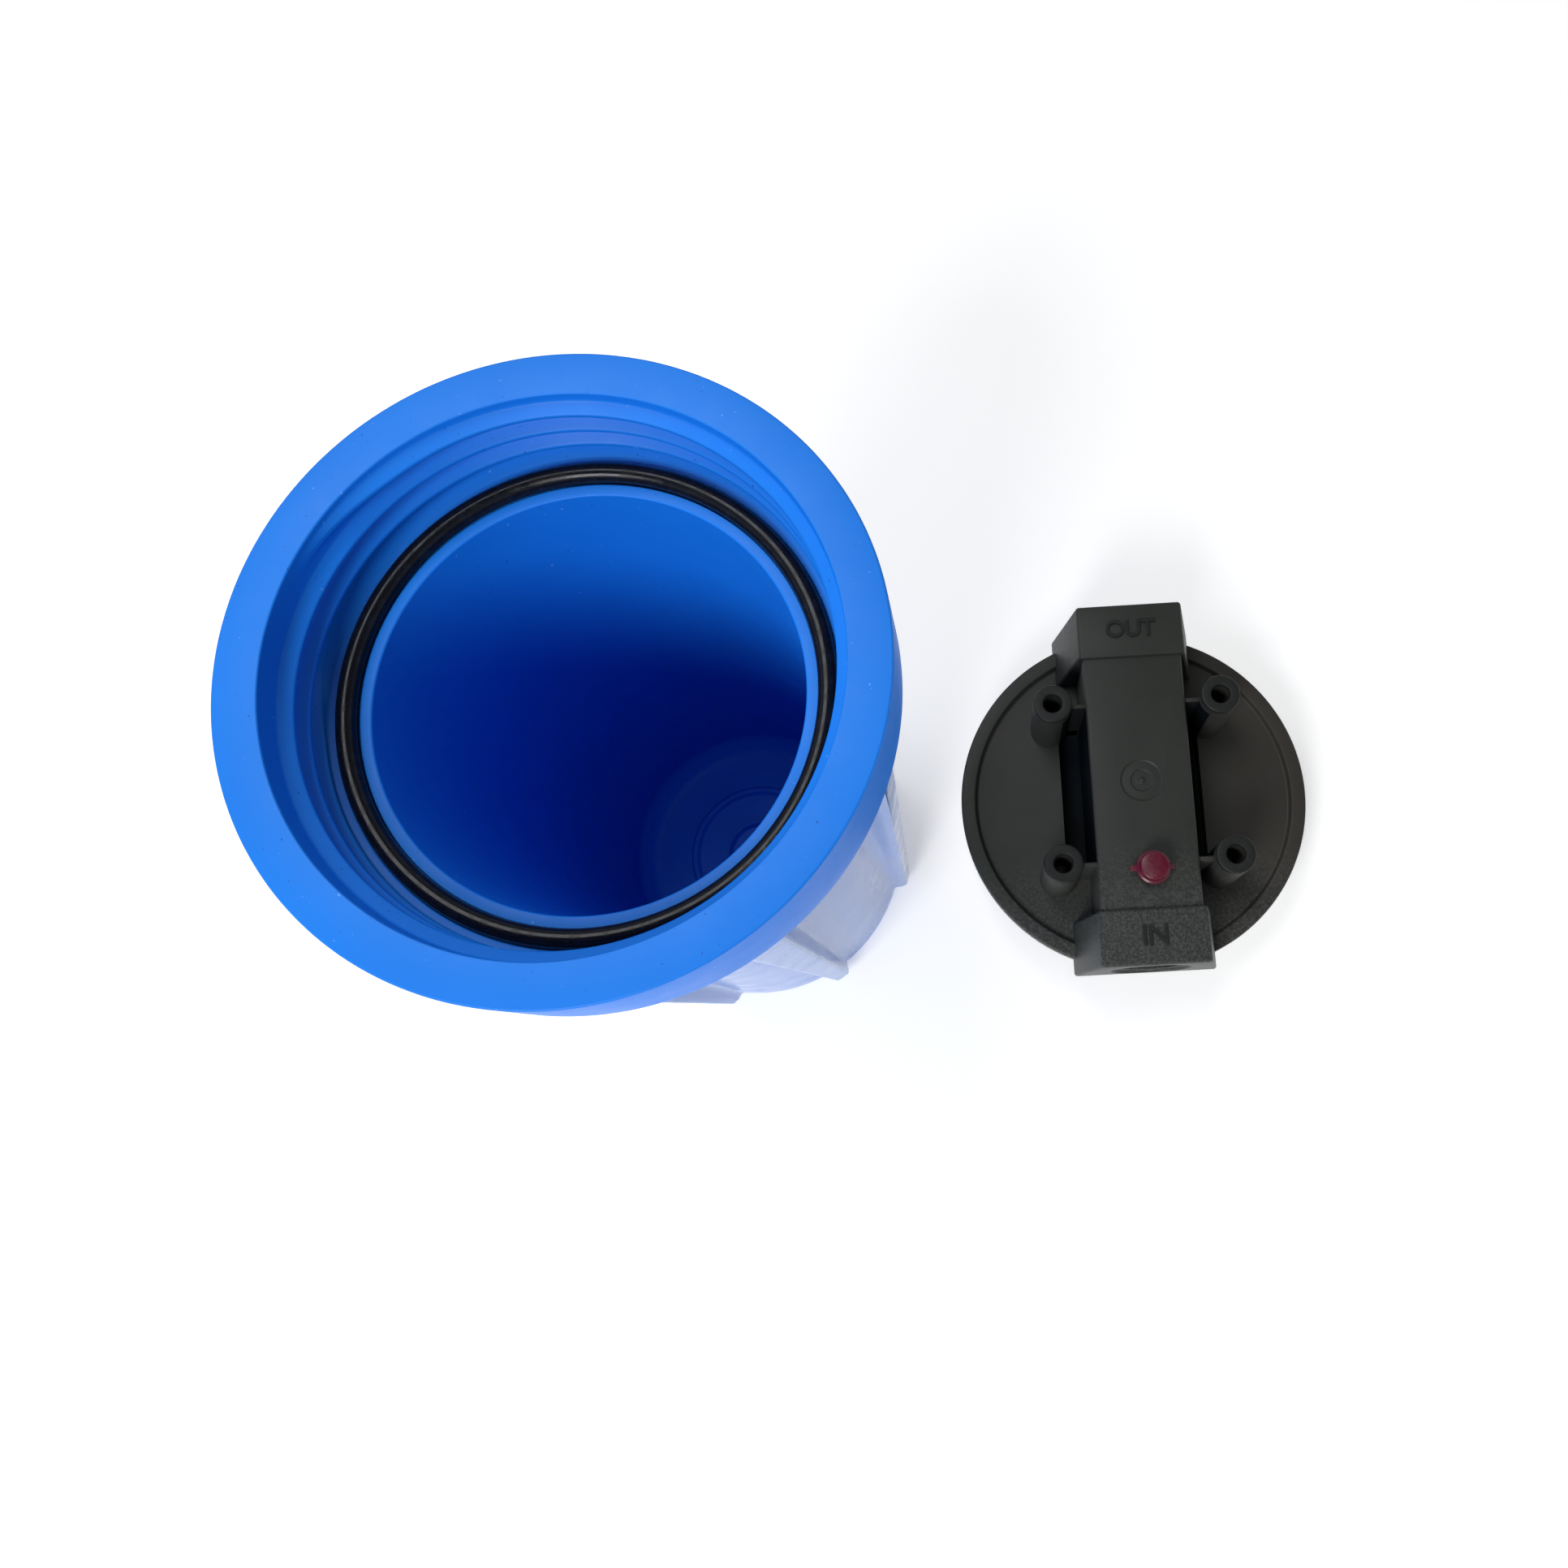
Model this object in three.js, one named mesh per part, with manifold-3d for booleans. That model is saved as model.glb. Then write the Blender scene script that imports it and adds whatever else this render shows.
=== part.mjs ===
// Jumbo cartridge filter housing, opened for service: the blue sump stands on its base with
// its O-ring seated on the ledge inside its mouth, and the black cap lies beside it on its
// threaded skirt, top side up. Units are millimetres, +Z is up, the ground is z = 0, and the
// origin is below the middle of the whole layout. The cap's ports lie along Y, IN towards -Y.
import * as THREE from "three";
import { mergeVertices } from "three/addons/utils/BufferGeometryUtils.js";
import Module from "manifold-3d";

const wasm = await Module();
wasm.setup();

// --- driving dimensions -----------------------------------------------------------------
const SUMP_HEIGHT = 282; // ground to rim
const RIM_R = 92; // outside of the collar
const COLLAR_HEIGHT = 31; // collar's side band
const BODY_TOP_R = 71.5; // outside of the body below the collar
const BODY_BASE_R = 69.5; // outside of the body at the base
const BORE_TOP_R = 63.9; // inside of the lip
const BORE_BASE_R = 60; // bore at its floor
const FLOOR_THICKNESS = 6;
const RIB_COUNT = 8;
const RIB_FIRST_AZIMUTH = -13; // degrees from +X
const RIB_TOP_THICKNESS = 13; // moulding draft makes a rib narrower towards the base
const RIB_BASE_THICKNESS = 8;
const RIB_TOP_R = 88;
const RIB_BASE_R = 75.6;

const THREAD_PITCH = 7.5; // right-hand, one start
const THREAD_TURNS = 3.3;
const CAP_THREAD_TURNS = 2.7;
const THREAD_START_AZIMUTH = 157.5; // degrees from +X, upper end of the sump's ridge
const FEMALE_ROOT_R = 79.4; // wall of the sump's mouth
const FEMALE_CREST_R = 75.8;
const THREAD_LEAD_IN = 1.2; // rim down to the top of the sump's first thread
const THREAD_RUNNING_GAP = 0.5; // radial, cap thread to sump thread

const O_RING_SECTION_R = 2.95;
const O_RING_MEAN_R = 70.5;
const LEDGE_DEPTH = 30.6; // rim down to the O-ring groove's floor
const LIP_DEPTH = 28.8; // rim down to the top of the lip inside the groove
const SEAT_GAP = 0.3; // clearance between pieces that touch

const FLANGE_R = 82;
const FLANGE_THICKNESS = 7;
const SKIRT_LENGTH = 28; // below the flange
const SKIRT_INNER_R = 68;
const PLATE_UNDERSIDE = 26.5; // height of the cap's inner ceiling
const PORT_END_Y = 83; // port face from the cap's axis
const PORT_BLOCK_INNER_Y = 58;
const PORT_BLOCK_HEIGHT = 37; // above the flange's top face
const PORT_BLOCK_TOP_HALF = 23.9;
const PORT_BLOCK_BASE_HALF = 33.5;
const PORT_R = 16.6; // mouth of a 1 inch pipe thread
const PASSAGE_R = 15.4; // passage behind the pipe thread
const PORT_AXIS_HEIGHT = 14; // above the flange's top face
const PORT_THREAD_DEPTH = 22;
const CHANNEL_HALF = 22.5;
const CHANNEL_HEIGHT = 35;
const CHANNEL_SEAM_Y = -16.5; // in the solid wall between the two waterways
const BOSS_X = 37.8; // screw bosses at (+-BOSS_X, +-BOSS_Y)
const BOSS_Y = 36.7;
const BOSS_HEIGHT = 39.6; // above the flange's top face
const BOSS_R = 8.75;
const BOSS_HOLE_R = 4;
const BOSS_HOLE_DEPTH = 26;
const POCKET_OUTER_X = 33.5; // core-out pockets along both sides of the channel
const POCKET_HALF_Y = 35.6;
const POCKET_FLOOR = 24.4;
const POCKET_WALL_BOTTOM = 21.6;
const OUTLET_TUBE_R = 20;
const OUTLET_BORE_R = 15;

const RELIEF_X = 1.4; // relief button's axis, from the cap's axis
const RELIEF_Y = -40.5;
const RELIEF_TRAVEL = 3;
const WELL_R = 6;
const WELL_FLOOR_TOP = 61;
const WELL_FLOOR_BOTTOM = 58.5;
const BUTTON_TOP_R = 6.25;
const BUTTON_BASE_R = 7.6;
const BUTTON_HEIGHT = 5.6;
const STEM_R = 2.6;

const CAP_OFFSET = [184.8, 11.4]; // cap's axis from the sump's axis

// --- derived places ---------------------------------------------------------------------
const SIDES = [
  [-1, -1],
  [1, -1],
  [-1, 1],
  [1, 1],
];
const FLANGE_TOP = SKIRT_LENGTH + FLANGE_THICKNESS;
const PORT_AXIS_Z = FLANGE_TOP + PORT_AXIS_HEIGHT;
const CHANNEL_TOP = FLANGE_TOP + CHANNEL_HEIGHT;
const BOX_MID_X = (CAP_OFFSET[0] + FLANGE_R - RIM_R) / 2;
const BOX_MID_Y = (CAP_OFFSET[1] + PORT_END_Y - RIM_R) / 2;
const SUMP_PLACE = [-BOX_MID_X, -BOX_MID_Y, 0];
const CAP_PLACE = [CAP_OFFSET[0] - BOX_MID_X, CAP_OFFSET[1] - BOX_MID_Y, 0];
const RINGS = 48; // facets round the large circles
const radians = THREE.MathUtils.degToRad;

// --- materials --------------------------------------------------------------------------
const BLUE = new THREE.MeshStandardMaterial({ color: 0x1f7fe8, roughness: 0.45, metalness: 0 });
const BLACK = new THREE.MeshStandardMaterial({ color: 0x2c2d2b, roughness: 0.6, metalness: 0 });
const RUBBER = new THREE.MeshStandardMaterial({ color: 0x0c0e12, roughness: 0.4, metalness: 0 });
const RED = new THREE.MeshStandardMaterial({ color: 0x8c1f3c, roughness: 0.35, metalness: 0 });
const STEEL = new THREE.MeshStandardMaterial({ color: 0xb8babc, roughness: 0.3, metalness: 1 });

// --- helpers ----------------------------------------------------------------------------
// A closed geometry as a solid that can be joined and cut.
function solid(geometry) {
  const bare = new THREE.BufferGeometry();
  const source = geometry.index ? geometry.toNonIndexed() : geometry;
  bare.setAttribute("position", source.getAttribute("position"));
  const merged = mergeVertices(bare, 1e-4);
  return new wasm.Manifold(
    new wasm.Mesh({
      numProp: 3,
      vertProperties: merged.attributes.position.array,
      triVerts: new Uint32Array(merged.index.array),
    }),
  );
}

function geometryOf(manifold) {
  const mesh = manifold.getMesh();
  const geometry = new THREE.BufferGeometry();
  geometry.setAttribute("position", new THREE.BufferAttribute(mesh.vertProperties, 3));
  geometry.setIndex(new THREE.BufferAttribute(mesh.triVerts, 1));
  geometry.computeVertexNormals();
  return geometry;
}

function mesh(name, geometry, material, place = [0, 0, 0]) {
  const made = new THREE.Mesh(geometry, material);
  made.name = name;
  made.position.set(...place);
  return made;
}

// Turns an outline of [radius, height] pairs, listed from the axis at the bottom round the
// outside and back to the axis, about Z.
function turned(outline, segments = RINGS) {
  const points = outline.map(([r, z]) => new THREE.Vector2(r, z));
  const geometry = new THREE.LatheGeometry(points, segments);
  return geometry.rotateX(Math.PI / 2);
}

// A ring whose [radius, height] outline closes on itself.
function ring(outline, segments = RINGS) {
  return turned([...outline, outline[0]], segments);
}

function cylinder(radius, low, high, segments = 32, x = 0, y = 0) {
  const geometry = new THREE.CylinderGeometry(radius, radius, high - low, segments);
  return geometry.rotateX(Math.PI / 2).translate(x, y, (low + high) / 2);
}

// A cylinder along Y.
function cylinderY(radius, y0, y1, z, segments = 32) {
  const geometry = new THREE.CylinderGeometry(radius, radius, Math.abs(y1 - y0), segments);
  return geometry.translate(0, (y0 + y1) / 2, z);
}

function box(x0, x1, y0, y1, z0, z1) {
  const geometry = new THREE.BoxGeometry(x1 - x0, y1 - y0, z1 - z0);
  return geometry.translate((x0 + x1) / 2, (y0 + y1) / 2, (z0 + z1) / 2);
}

// A closed outline of [x, z] pairs pushed along Y from y0 to y1.
function prismY(outline, y0, y1) {
  const shape = new THREE.Shape(outline.map(([x, z]) => new THREE.Vector2(x, z)));
  const geometry = new THREE.ExtrudeGeometry(shape, { depth: y1 - y0, bevelEnabled: false });
  return geometry.rotateX(Math.PI / 2).translate(0, y1, 0);
}

function joined(parts) {
  return parts.map(solid).reduce((whole, part) => whole.add(part));
}

// A buttress thread ridge: a long bar with a tapered section, wound down a right-hand helix
// from topZ. The ridge runs out smoothly into its wall at both ends. rootR lies inside the
// wall's material, and flush is the radius at which a run-out end is level with the wall.
function threadRidge({ rootR, crestR, flush, topZ, startAzimuth, turns }) {
  const perTurn = 24;
  const steps = Math.round(turns * perTurn);
  const runOut = 0.14; // share of one turn taken by each run-out
  const bar = new THREE.BoxGeometry(1, 1, 1, 1, 1, steps);
  const position = bar.attributes.position;
  for (let i = 0; i < position.count; i++) {
    const atCrest = position.getX(i) > 0;
    const upper = position.getY(i) > 0;
    const along = (position.getZ(i) + 0.5) * turns;
    const grown = Math.min(1, along / runOut, (turns - along) / runOut);
    const radius = atCrest ? flush + (crestR - flush) * Math.max(grown, 0) : rootR;
    const upperOffset = atCrest ? 0.2 : 2.9;
    const lowerOffset = atCrest ? -1.4 : -2.9;
    const height = topZ - 3 - along * THREAD_PITCH + (upper ? upperOffset : lowerOffset);
    const angle = radians(startAzimuth) - along * 2 * Math.PI;
    position.setXYZ(i, radius * Math.cos(angle), radius * Math.sin(angle), height);
  }
  const made = solid(bar);
  if (made.volume() > 0) return made;
  const turnedRound = bar.toNonIndexed();
  const p = turnedRound.attributes.position;
  for (let i = 0; i < p.count; i += 3) {
    const [x, y, z] = [p.getX(i), p.getY(i), p.getZ(i)];
    p.setXYZ(i, p.getX(i + 1), p.getY(i + 1), p.getZ(i + 1));
    p.setXYZ(i + 1, x, y, z);
  }
  return solid(turnedRound);
}

// --- sump -------------------------------------------------------------------------------
function sumpShell() {
  const top = SUMP_HEIGHT;
  const collarFoot = top - COLLAR_HEIGHT;
  return turned([
    [0, 3],
    [54, 3],
    [57, 0],
    [BODY_BASE_R - 3.5, 0],
    [BODY_BASE_R - 1, 1.2],
    [BODY_BASE_R, 4],
    [BODY_TOP_R, top - 46],
    [BODY_TOP_R + 3, top - 40],
    [RIM_R - 6, collarFoot - 1],
    [RIM_R - 2, collarFoot],
    [RIM_R, collarFoot + 2],
    [RIM_R, top - 0.6],
    [RIM_R - 0.6, top],
    [FEMALE_ROOT_R + 0.5, top],
    [FEMALE_ROOT_R, top - 0.5],
    [FEMALE_ROOT_R, top - 26],
    [75.9, top - 27.4],
    [73.8, top - 28],
    [73.8, top - LEDGE_DEPTH],
    [67.2, top - LEDGE_DEPTH],
    [67.2, top - LIP_DEPTH],
    [BORE_TOP_R + 0.8, top - LIP_DEPTH],
    [BORE_TOP_R, top - LIP_DEPTH - 0.8],
    [BORE_BASE_R, FLOOR_THICKNESS + 6],
    [BORE_BASE_R - 4, FLOOR_THICKNESS + 0.8],
    [35, FLOOR_THICKNESS],
    [34, FLOOR_THICKNESS + 2],
    [32, FLOOR_THICKNESS + 2],
    [31, FLOOR_THICKNESS],
    [17, FLOOR_THICKNESS],
    [16.4, FLOOR_THICKNESS + 4],
    [15.4, FLOOR_THICKNESS + 4],
    [14, FLOOR_THICKNESS],
    [0, FLOOR_THICKNESS],
  ]);
}

// One upright grip rib: a flat plate that leans in with the body and dies away at the base.
function gripRib(azimuth) {
  const collarFoot = SUMP_HEIGHT - COLLAR_HEIGHT;
  const outline = [
    [64, 6],
    [RIB_BASE_R - 5, 4],
    [RIB_BASE_R - 1, 6],
    [RIB_BASE_R, 11],
    [RIB_TOP_R, collarFoot - 0.2],
    [68, collarFoot - 0.2],
  ];
  const plate = prismY(outline, -0.5, 0.5);
  const position = plate.attributes.position;
  for (let i = 0; i < position.count; i++) {
    const share = position.getZ(i) / collarFoot;
    const thickness = RIB_BASE_THICKNESS + (RIB_TOP_THICKNESS - RIB_BASE_THICKNESS) * share;
    position.setY(i, position.getY(i) * thickness);
  }
  return plate.rotateZ(radians(azimuth));
}

function sump() {
  let whole = solid(sumpShell());
  for (let i = 0; i < RIB_COUNT; i++) {
    whole = whole.add(solid(gripRib(RIB_FIRST_AZIMUTH + (i * 360) / RIB_COUNT)));
  }
  whole = whole.add(
    threadRidge({
      rootR: FEMALE_ROOT_R + 1.2,
      flush: FEMALE_ROOT_R + 0.5,
      crestR: FEMALE_CREST_R,
      topZ: SUMP_HEIGHT - THREAD_LEAD_IN,
      startAzimuth: THREAD_START_AZIMUTH,
      turns: THREAD_TURNS,
    }),
  );
  return geometryOf(whole);
}

function mainORing() {
  const torus = new THREE.TorusGeometry(O_RING_MEAN_R, O_RING_SECTION_R, 8, RINGS);
  return torus.translate(0, 0, SUMP_HEIGHT - LEDGE_DEPTH + SEAT_GAP + O_RING_SECTION_R);
}

// --- cap --------------------------------------------------------------------------------
// The cap is one moulding. It is made in simple blocks with hairline gaps between them, so that
// each one keeps its hollows open in collision: skirt, top, outlet tube, two port blocks, the two
// halves of the channel between them, and four posts.
const SEAM_LOW = FLANGE_TOP; // the top ends here
const SEAM_HIGH = FLANGE_TOP + SEAT_GAP; // the channel and the posts start here

// Threaded skirt, open at both ends.
function capSkirt() {
  const maleRootR = FEMALE_CREST_R - THREAD_RUNNING_GAP;
  const skirtTop = SKIRT_LENGTH - SEAT_GAP;
  const wall = ring([
    [SKIRT_INNER_R, 0.6],
    [SKIRT_INNER_R + 0.6, 0],
    [maleRootR - 2.2, 0],
    [maleRootR - 1.2, 1],
    [maleRootR, 2.5],
    [maleRootR, skirtTop],
    [SKIRT_INNER_R, skirtTop],
  ]);
  const ridge = threadRidge({
    rootR: maleRootR - 1.2,
    flush: maleRootR - 0.5,
    crestR: FEMALE_ROOT_R - THREAD_RUNNING_GAP,
    topZ: SKIRT_LENGTH - 0.6,
    startAzimuth: THREAD_START_AZIMUTH,
    turns: CAP_THREAD_TURNS,
  });
  return geometryOf(solid(wall).add(ridge));
}

// Flange and recessed top plate.
function flangedPlate() {
  return turned([
    [0, PLATE_UNDERSIDE],
    [SKIRT_INNER_R - SEAT_GAP, PLATE_UNDERSIDE],
    [SKIRT_INNER_R - SEAT_GAP, SKIRT_LENGTH],
    [FLANGE_R - 0.8, SKIRT_LENGTH],
    [FLANGE_R, SKIRT_LENGTH + 0.8],
    [FLANGE_R, FLANGE_TOP - 0.8],
    [FLANGE_R - 0.8, FLANGE_TOP],
    [75.2, FLANGE_TOP],
    [74.4, FLANGE_TOP - 2.6],
    [40, FLANGE_TOP - 1.6],
    [0, FLANGE_TOP - 1.2],
  ]);
}

// The end block round one pipe port: flat on top, its sides sloping out to the flange.
function portBlock(y0, y1) {
  const top = FLANGE_TOP + PORT_BLOCK_HEIGHT;
  const outline = [
    [-PORT_BLOCK_BASE_HALF, SKIRT_LENGTH + 0.5],
    [PORT_BLOCK_BASE_HALF, SKIRT_LENGTH + 0.5],
    [PORT_BLOCK_TOP_HALF + 0.8, top - 1.6],
    [PORT_BLOCK_TOP_HALF - 1, top],
    [-PORT_BLOCK_TOP_HALF + 1, top],
    [-PORT_BLOCK_TOP_HALF - 0.8, top - 1.6],
  ];
  return prismY(outline, y0, y1);
}

function post(sideX, sideY, low) {
  const top = FLANGE_TOP + BOSS_HEIGHT;
  return cylinder(BOSS_R, low, top, 24, sideX * BOSS_X, sideY * BOSS_Y);
}

function postHole(sideX, sideY) {
  const top = FLANGE_TOP + BOSS_HEIGHT;
  return cylinder(BOSS_HOLE_R, top - BOSS_HOLE_DEPTH, top + 1, 20, sideX * BOSS_X, sideY * BOSS_Y);
}

// The upper part of one screw post, with the thin web that reaches to the channel.
function capPost(sideX, sideY) {
  const y = sideY * BOSS_Y;
  const inner = sideX * (CHANNEL_HALF + SEAT_GAP);
  const outer = sideX * (BOSS_X - BOSS_R + 1);
  const webTop = FLANGE_TOP + BOSS_HEIGHT - 7;
  const [x0, x1] = [Math.min(inner, outer), Math.max(inner, outer)];
  const web = box(x0, x1, y - 1.1, y + 1.1, SEAM_HIGH, webTop);
  return geometryOf(joined([post(sideX, sideY, SEAM_HIGH), web]).subtract(solid(postHole(sideX, sideY))));
}

// Central tube on the underside that leads water from the cartridge to the outlet, ending in
// the ring that seals on the cartridge.
function capOutletTube() {
  return ring(
    [
      [OUTLET_BORE_R, 3.2],
      [OUTLET_BORE_R + 1.6, 3.2],
      [OUTLET_BORE_R + 2.2, 1.4],
      [OUTLET_BORE_R + 2.8, 1.4],
      [OUTLET_BORE_R + 3.4, 3.2],
      [OUTLET_TUBE_R, 3.2],
      [OUTLET_TUBE_R + 0.6, POCKET_WALL_BOTTOM - SEAT_GAP],
      [OUTLET_TUBE_R + 0.6, PLATE_UNDERSIDE - SEAT_GAP],
      [OUTLET_BORE_R, PLATE_UNDERSIDE - SEAT_GAP],
    ],
    32,
  );
}

// A core-out pocket beside the channel, as [the wall that hangs below the plate, the hollow].
function pocket(side) {
  const block = (x0, x1, halfY, low, high) =>
    box(Math.min(side * x0, side * x1), Math.max(side * x0, side * x1), -halfY, halfY, low, high);
  const wall = block(CHANNEL_HALF - 0.6, POCKET_OUTER_X + 2.5, POCKET_HALF_Y + 2.5, POCKET_WALL_BOTTOM, 30);
  const hollow = block(CHANNEL_HALF, POCKET_OUTER_X, POCKET_HALF_Y, POCKET_FLOOR, SEAM_HIGH + 1);
  return [wall, hollow];
}

function waterways() {
  const mouth = 4; // run past the port face
  const inletEnd = -27;
  const outletEnd = 6;
  const inlet = cylinderY(PASSAGE_R, -PORT_END_Y - mouth, inletEnd, PORT_AXIS_Z);
  const outlet = cylinderY(PASSAGE_R, -outletEnd, PORT_END_Y + mouth, PORT_AXIS_Z);
  const inletMouth = cylinderY(PORT_R, -PORT_END_Y - mouth, -PORT_END_Y + PORT_THREAD_DEPTH, PORT_AXIS_Z);
  const outletMouth = cylinderY(PORT_R, PORT_END_Y - PORT_THREAD_DEPTH, PORT_END_Y + mouth, PORT_AXIS_Z);
  const inletDrop = box(-11, 11, -57, inletEnd - 2, SKIRT_LENGTH - 8, PORT_AXIS_Z);
  const outletDrop = cylinder(OUTLET_BORE_R, -1, PORT_AXIS_Z, 32);
  return joined([inlet, inletMouth, inletDrop]).add(joined([outlet, outletMouth, outletDrop]));
}

// The relief valve's well hangs into the inlet passage from the channel's roof.
function reliefWellWall() {
  return cylinder(WELL_R + 2.4, WELL_FLOOR_BOTTOM, CHANNEL_TOP - 1, 24, RELIEF_X, RELIEF_Y);
}

function reliefWellBore() {
  const well = cylinder(WELL_R, WELL_FLOOR_TOP, CHANNEL_TOP + 1, 24, RELIEF_X, RELIEF_Y);
  const vent = cylinder(STEM_R + 0.7, WELL_FLOOR_BOTTOM - 1, WELL_FLOOR_TOP + 1, 20, RELIEF_X, RELIEF_Y);
  return joined([well, vent]);
}

// Shallow rings left by the moulding gate in the middle of the channel.
function gateMark() {
  const ringCut = (inner, outer) =>
    ring(
      [
        [inner, CHANNEL_TOP - 0.6],
        [outer, CHANNEL_TOP - 0.6],
        [outer, CHANNEL_TOP + 0.5],
        [inner, CHANNEL_TOP + 0.5],
      ],
      32,
    );
  return joined([ringCut(8.9, 9.6), ringCut(4, 4.7)]);
}

// Port blocks and channel, before they are parted into the cap's top and the channel above it.
function portsAndChannel() {
  const reach = PORT_BLOCK_INNER_Y + 2;
  return joined([
    portBlock(-PORT_END_Y, -PORT_BLOCK_INNER_Y),
    portBlock(PORT_BLOCK_INNER_Y, PORT_END_Y),
    box(-CHANNEL_HALF, CHANNEL_HALF, -reach, reach, FLANGE_TOP - 6, CHANNEL_TOP),
  ]);
}

// Flange, top plate and everything that stands on them, up to the seam.
function capTop() {
  let whole = solid(flangedPlate());
  for (const side of [-1, 1]) {
    const [wall, hollow] = pocket(side);
    whole = whole.add(solid(wall)).subtract(solid(hollow));
  }
  const feet = joined(SIDES.map(([sideX, sideY]) => post(sideX, sideY, POCKET_FLOOR - 0.5)));
  whole = whole.add(portsAndChannel().add(feet).trimByPlane([0, 0, -1], -SEAM_LOW));
  return geometryOf(whole.subtract(waterways()));
}

// Everything above the seam but the posts, with its waterways and the relief valve's well.
function upperWorks() {
  const upper = portsAndChannel().trimByPlane([0, 0, 1], SEAM_HIGH).subtract(waterways());
  const welled = upper.add(solid(reliefWellWall())).subtract(reliefWellBore());
  return welled.subtract(gateMark());
}

// The stretch of the upper works between two places along Y.
function stretch(whole, y0, y1) {
  return geometryOf(whole.trimByPlane([0, 1, 0], y0).trimByPlane([0, -1, 0], -y1));
}

// --- relief valve -----------------------------------------------------------------------
const SEAL_SECTION_R = 1;
const SEAL_MEAN_R = 4;
const SEAL_Z = WELL_FLOOR_BOTTOM - SEAT_GAP - SEAL_SECTION_R;
const WASHER_TOP = SEAL_Z - SEAL_SECTION_R - SEAT_GAP;
const WASHER_THICKNESS = 1;
const BUTTON_BASE_Z = CHANNEL_TOP + RELIEF_TRAVEL + 0.4;

function reliefButton() {
  const stemEnd = WASHER_TOP + SEAT_GAP;
  const head = ring(
    [
      [1.8, stemEnd],
      [STEM_R, stemEnd],
      [STEM_R, BUTTON_BASE_Z - 1],
      [STEM_R + 0.6, BUTTON_BASE_Z],
      [BUTTON_BASE_R, BUTTON_BASE_Z],
      [BUTTON_BASE_R, BUTTON_BASE_Z + 1.4],
      [BUTTON_TOP_R + 0.3, BUTTON_BASE_Z + 2],
      [BUTTON_TOP_R, BUTTON_BASE_Z + BUTTON_HEIGHT - 0.8],
      [BUTTON_TOP_R - 0.8, BUTTON_BASE_Z + BUTTON_HEIGHT],
      [1.8, BUTTON_BASE_Z + BUTTON_HEIGHT],
    ],
    28,
  );
  const core = cylinder(2.2, stemEnd + 9, BUTTON_BASE_Z + BUTTON_HEIGHT, 16);
  const leftLug = box(-10.4, -5, -1.3, 1.3, BUTTON_BASE_Z, BUTTON_BASE_Z + 1.4);
  const rightLug = box(5, 9, -1.3, 1.3, BUTTON_BASE_Z, BUTTON_BASE_Z + 1.4);
  return geometryOf(joined([head, core, leftLug, rightLug]));
}

function reliefSeal() {
  return new THREE.TorusGeometry(SEAL_MEAN_R, SEAL_SECTION_R, 6, 20).translate(0, 0, SEAL_Z);
}

function reliefWasher() {
  const low = WASHER_TOP - WASHER_THICKNESS;
  return ring(
    [
      [1.85, low],
      [5.6, low],
      [5.6, WASHER_TOP],
      [1.85, WASHER_TOP],
    ],
    28,
  );
}

function reliefScrew() {
  const headTop = WASHER_TOP - WASHER_THICKNESS - SEAT_GAP;
  return turned(
    [
      [0, headTop - 2.2],
      [2, headTop - 2.2],
      [3.1, headTop - 1.4],
      [3.1, headTop],
      [1.45, headTop],
      [1.45, headTop + 8],
      [0, headTop + 8.6],
    ],
    20,
  );
}

class SpringCurve extends THREE.Curve {
  getPoint(t, target = new THREE.Vector3()) {
    const coils = 5;
    const radius = 4.4;
    const low = WELL_FLOOR_TOP + SEAT_GAP + 0.4;
    const high = BUTTON_BASE_Z - SEAT_GAP - 0.4;
    const angle = t * coils * 2 * Math.PI;
    return target.set(radius * Math.cos(angle), radius * Math.sin(angle), low + (high - low) * t);
  }
}

function reliefSpring() {
  const wire = new THREE.Shape().absarc(0, 0, 0.4, 0, 2 * Math.PI);
  return new THREE.ExtrudeGeometry(wire, {
    steps: 60,
    curveSegments: 3,
    extrudePath: new SpringCurve(),
    bevelEnabled: false,
  });
}

// --- assembly ---------------------------------------------------------------------------
const housing = new THREE.Group();

const sumpGroup = new THREE.Group();
sumpGroup.position.set(...SUMP_PLACE);
sumpGroup.add(mesh("sump", sump(), BLUE));
sumpGroup.add(mesh("main_o_ring", mainORing(), RUBBER));

const capGroup = new THREE.Group();
capGroup.position.set(...CAP_PLACE);
capGroup.add(mesh("cap_top", capTop(), BLACK));
capGroup.add(mesh("cap_skirt", capSkirt(), BLACK));
capGroup.add(mesh("cap_outlet_tube", capOutletTube(), BLACK));
const upper = upperWorks();
const blockY = PORT_BLOCK_INNER_Y - SEAT_GAP;
const halfGap = SEAT_GAP / 2;
capGroup.add(mesh("cap_inlet_block", stretch(upper, -PORT_END_Y - 1, -PORT_BLOCK_INNER_Y), BLACK));
capGroup.add(mesh("cap_inlet_channel", stretch(upper, -blockY, CHANNEL_SEAM_Y - halfGap), BLACK));
capGroup.add(mesh("cap_outlet_channel", stretch(upper, CHANNEL_SEAM_Y + halfGap, blockY), BLACK));
capGroup.add(mesh("cap_outlet_block", stretch(upper, PORT_BLOCK_INNER_Y, PORT_END_Y + 1), BLACK));
SIDES.forEach(([sideX, sideY], i) => {
  capGroup.add(mesh(`cap_post_${i + 1}`, capPost(sideX, sideY), BLACK));
});

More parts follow.
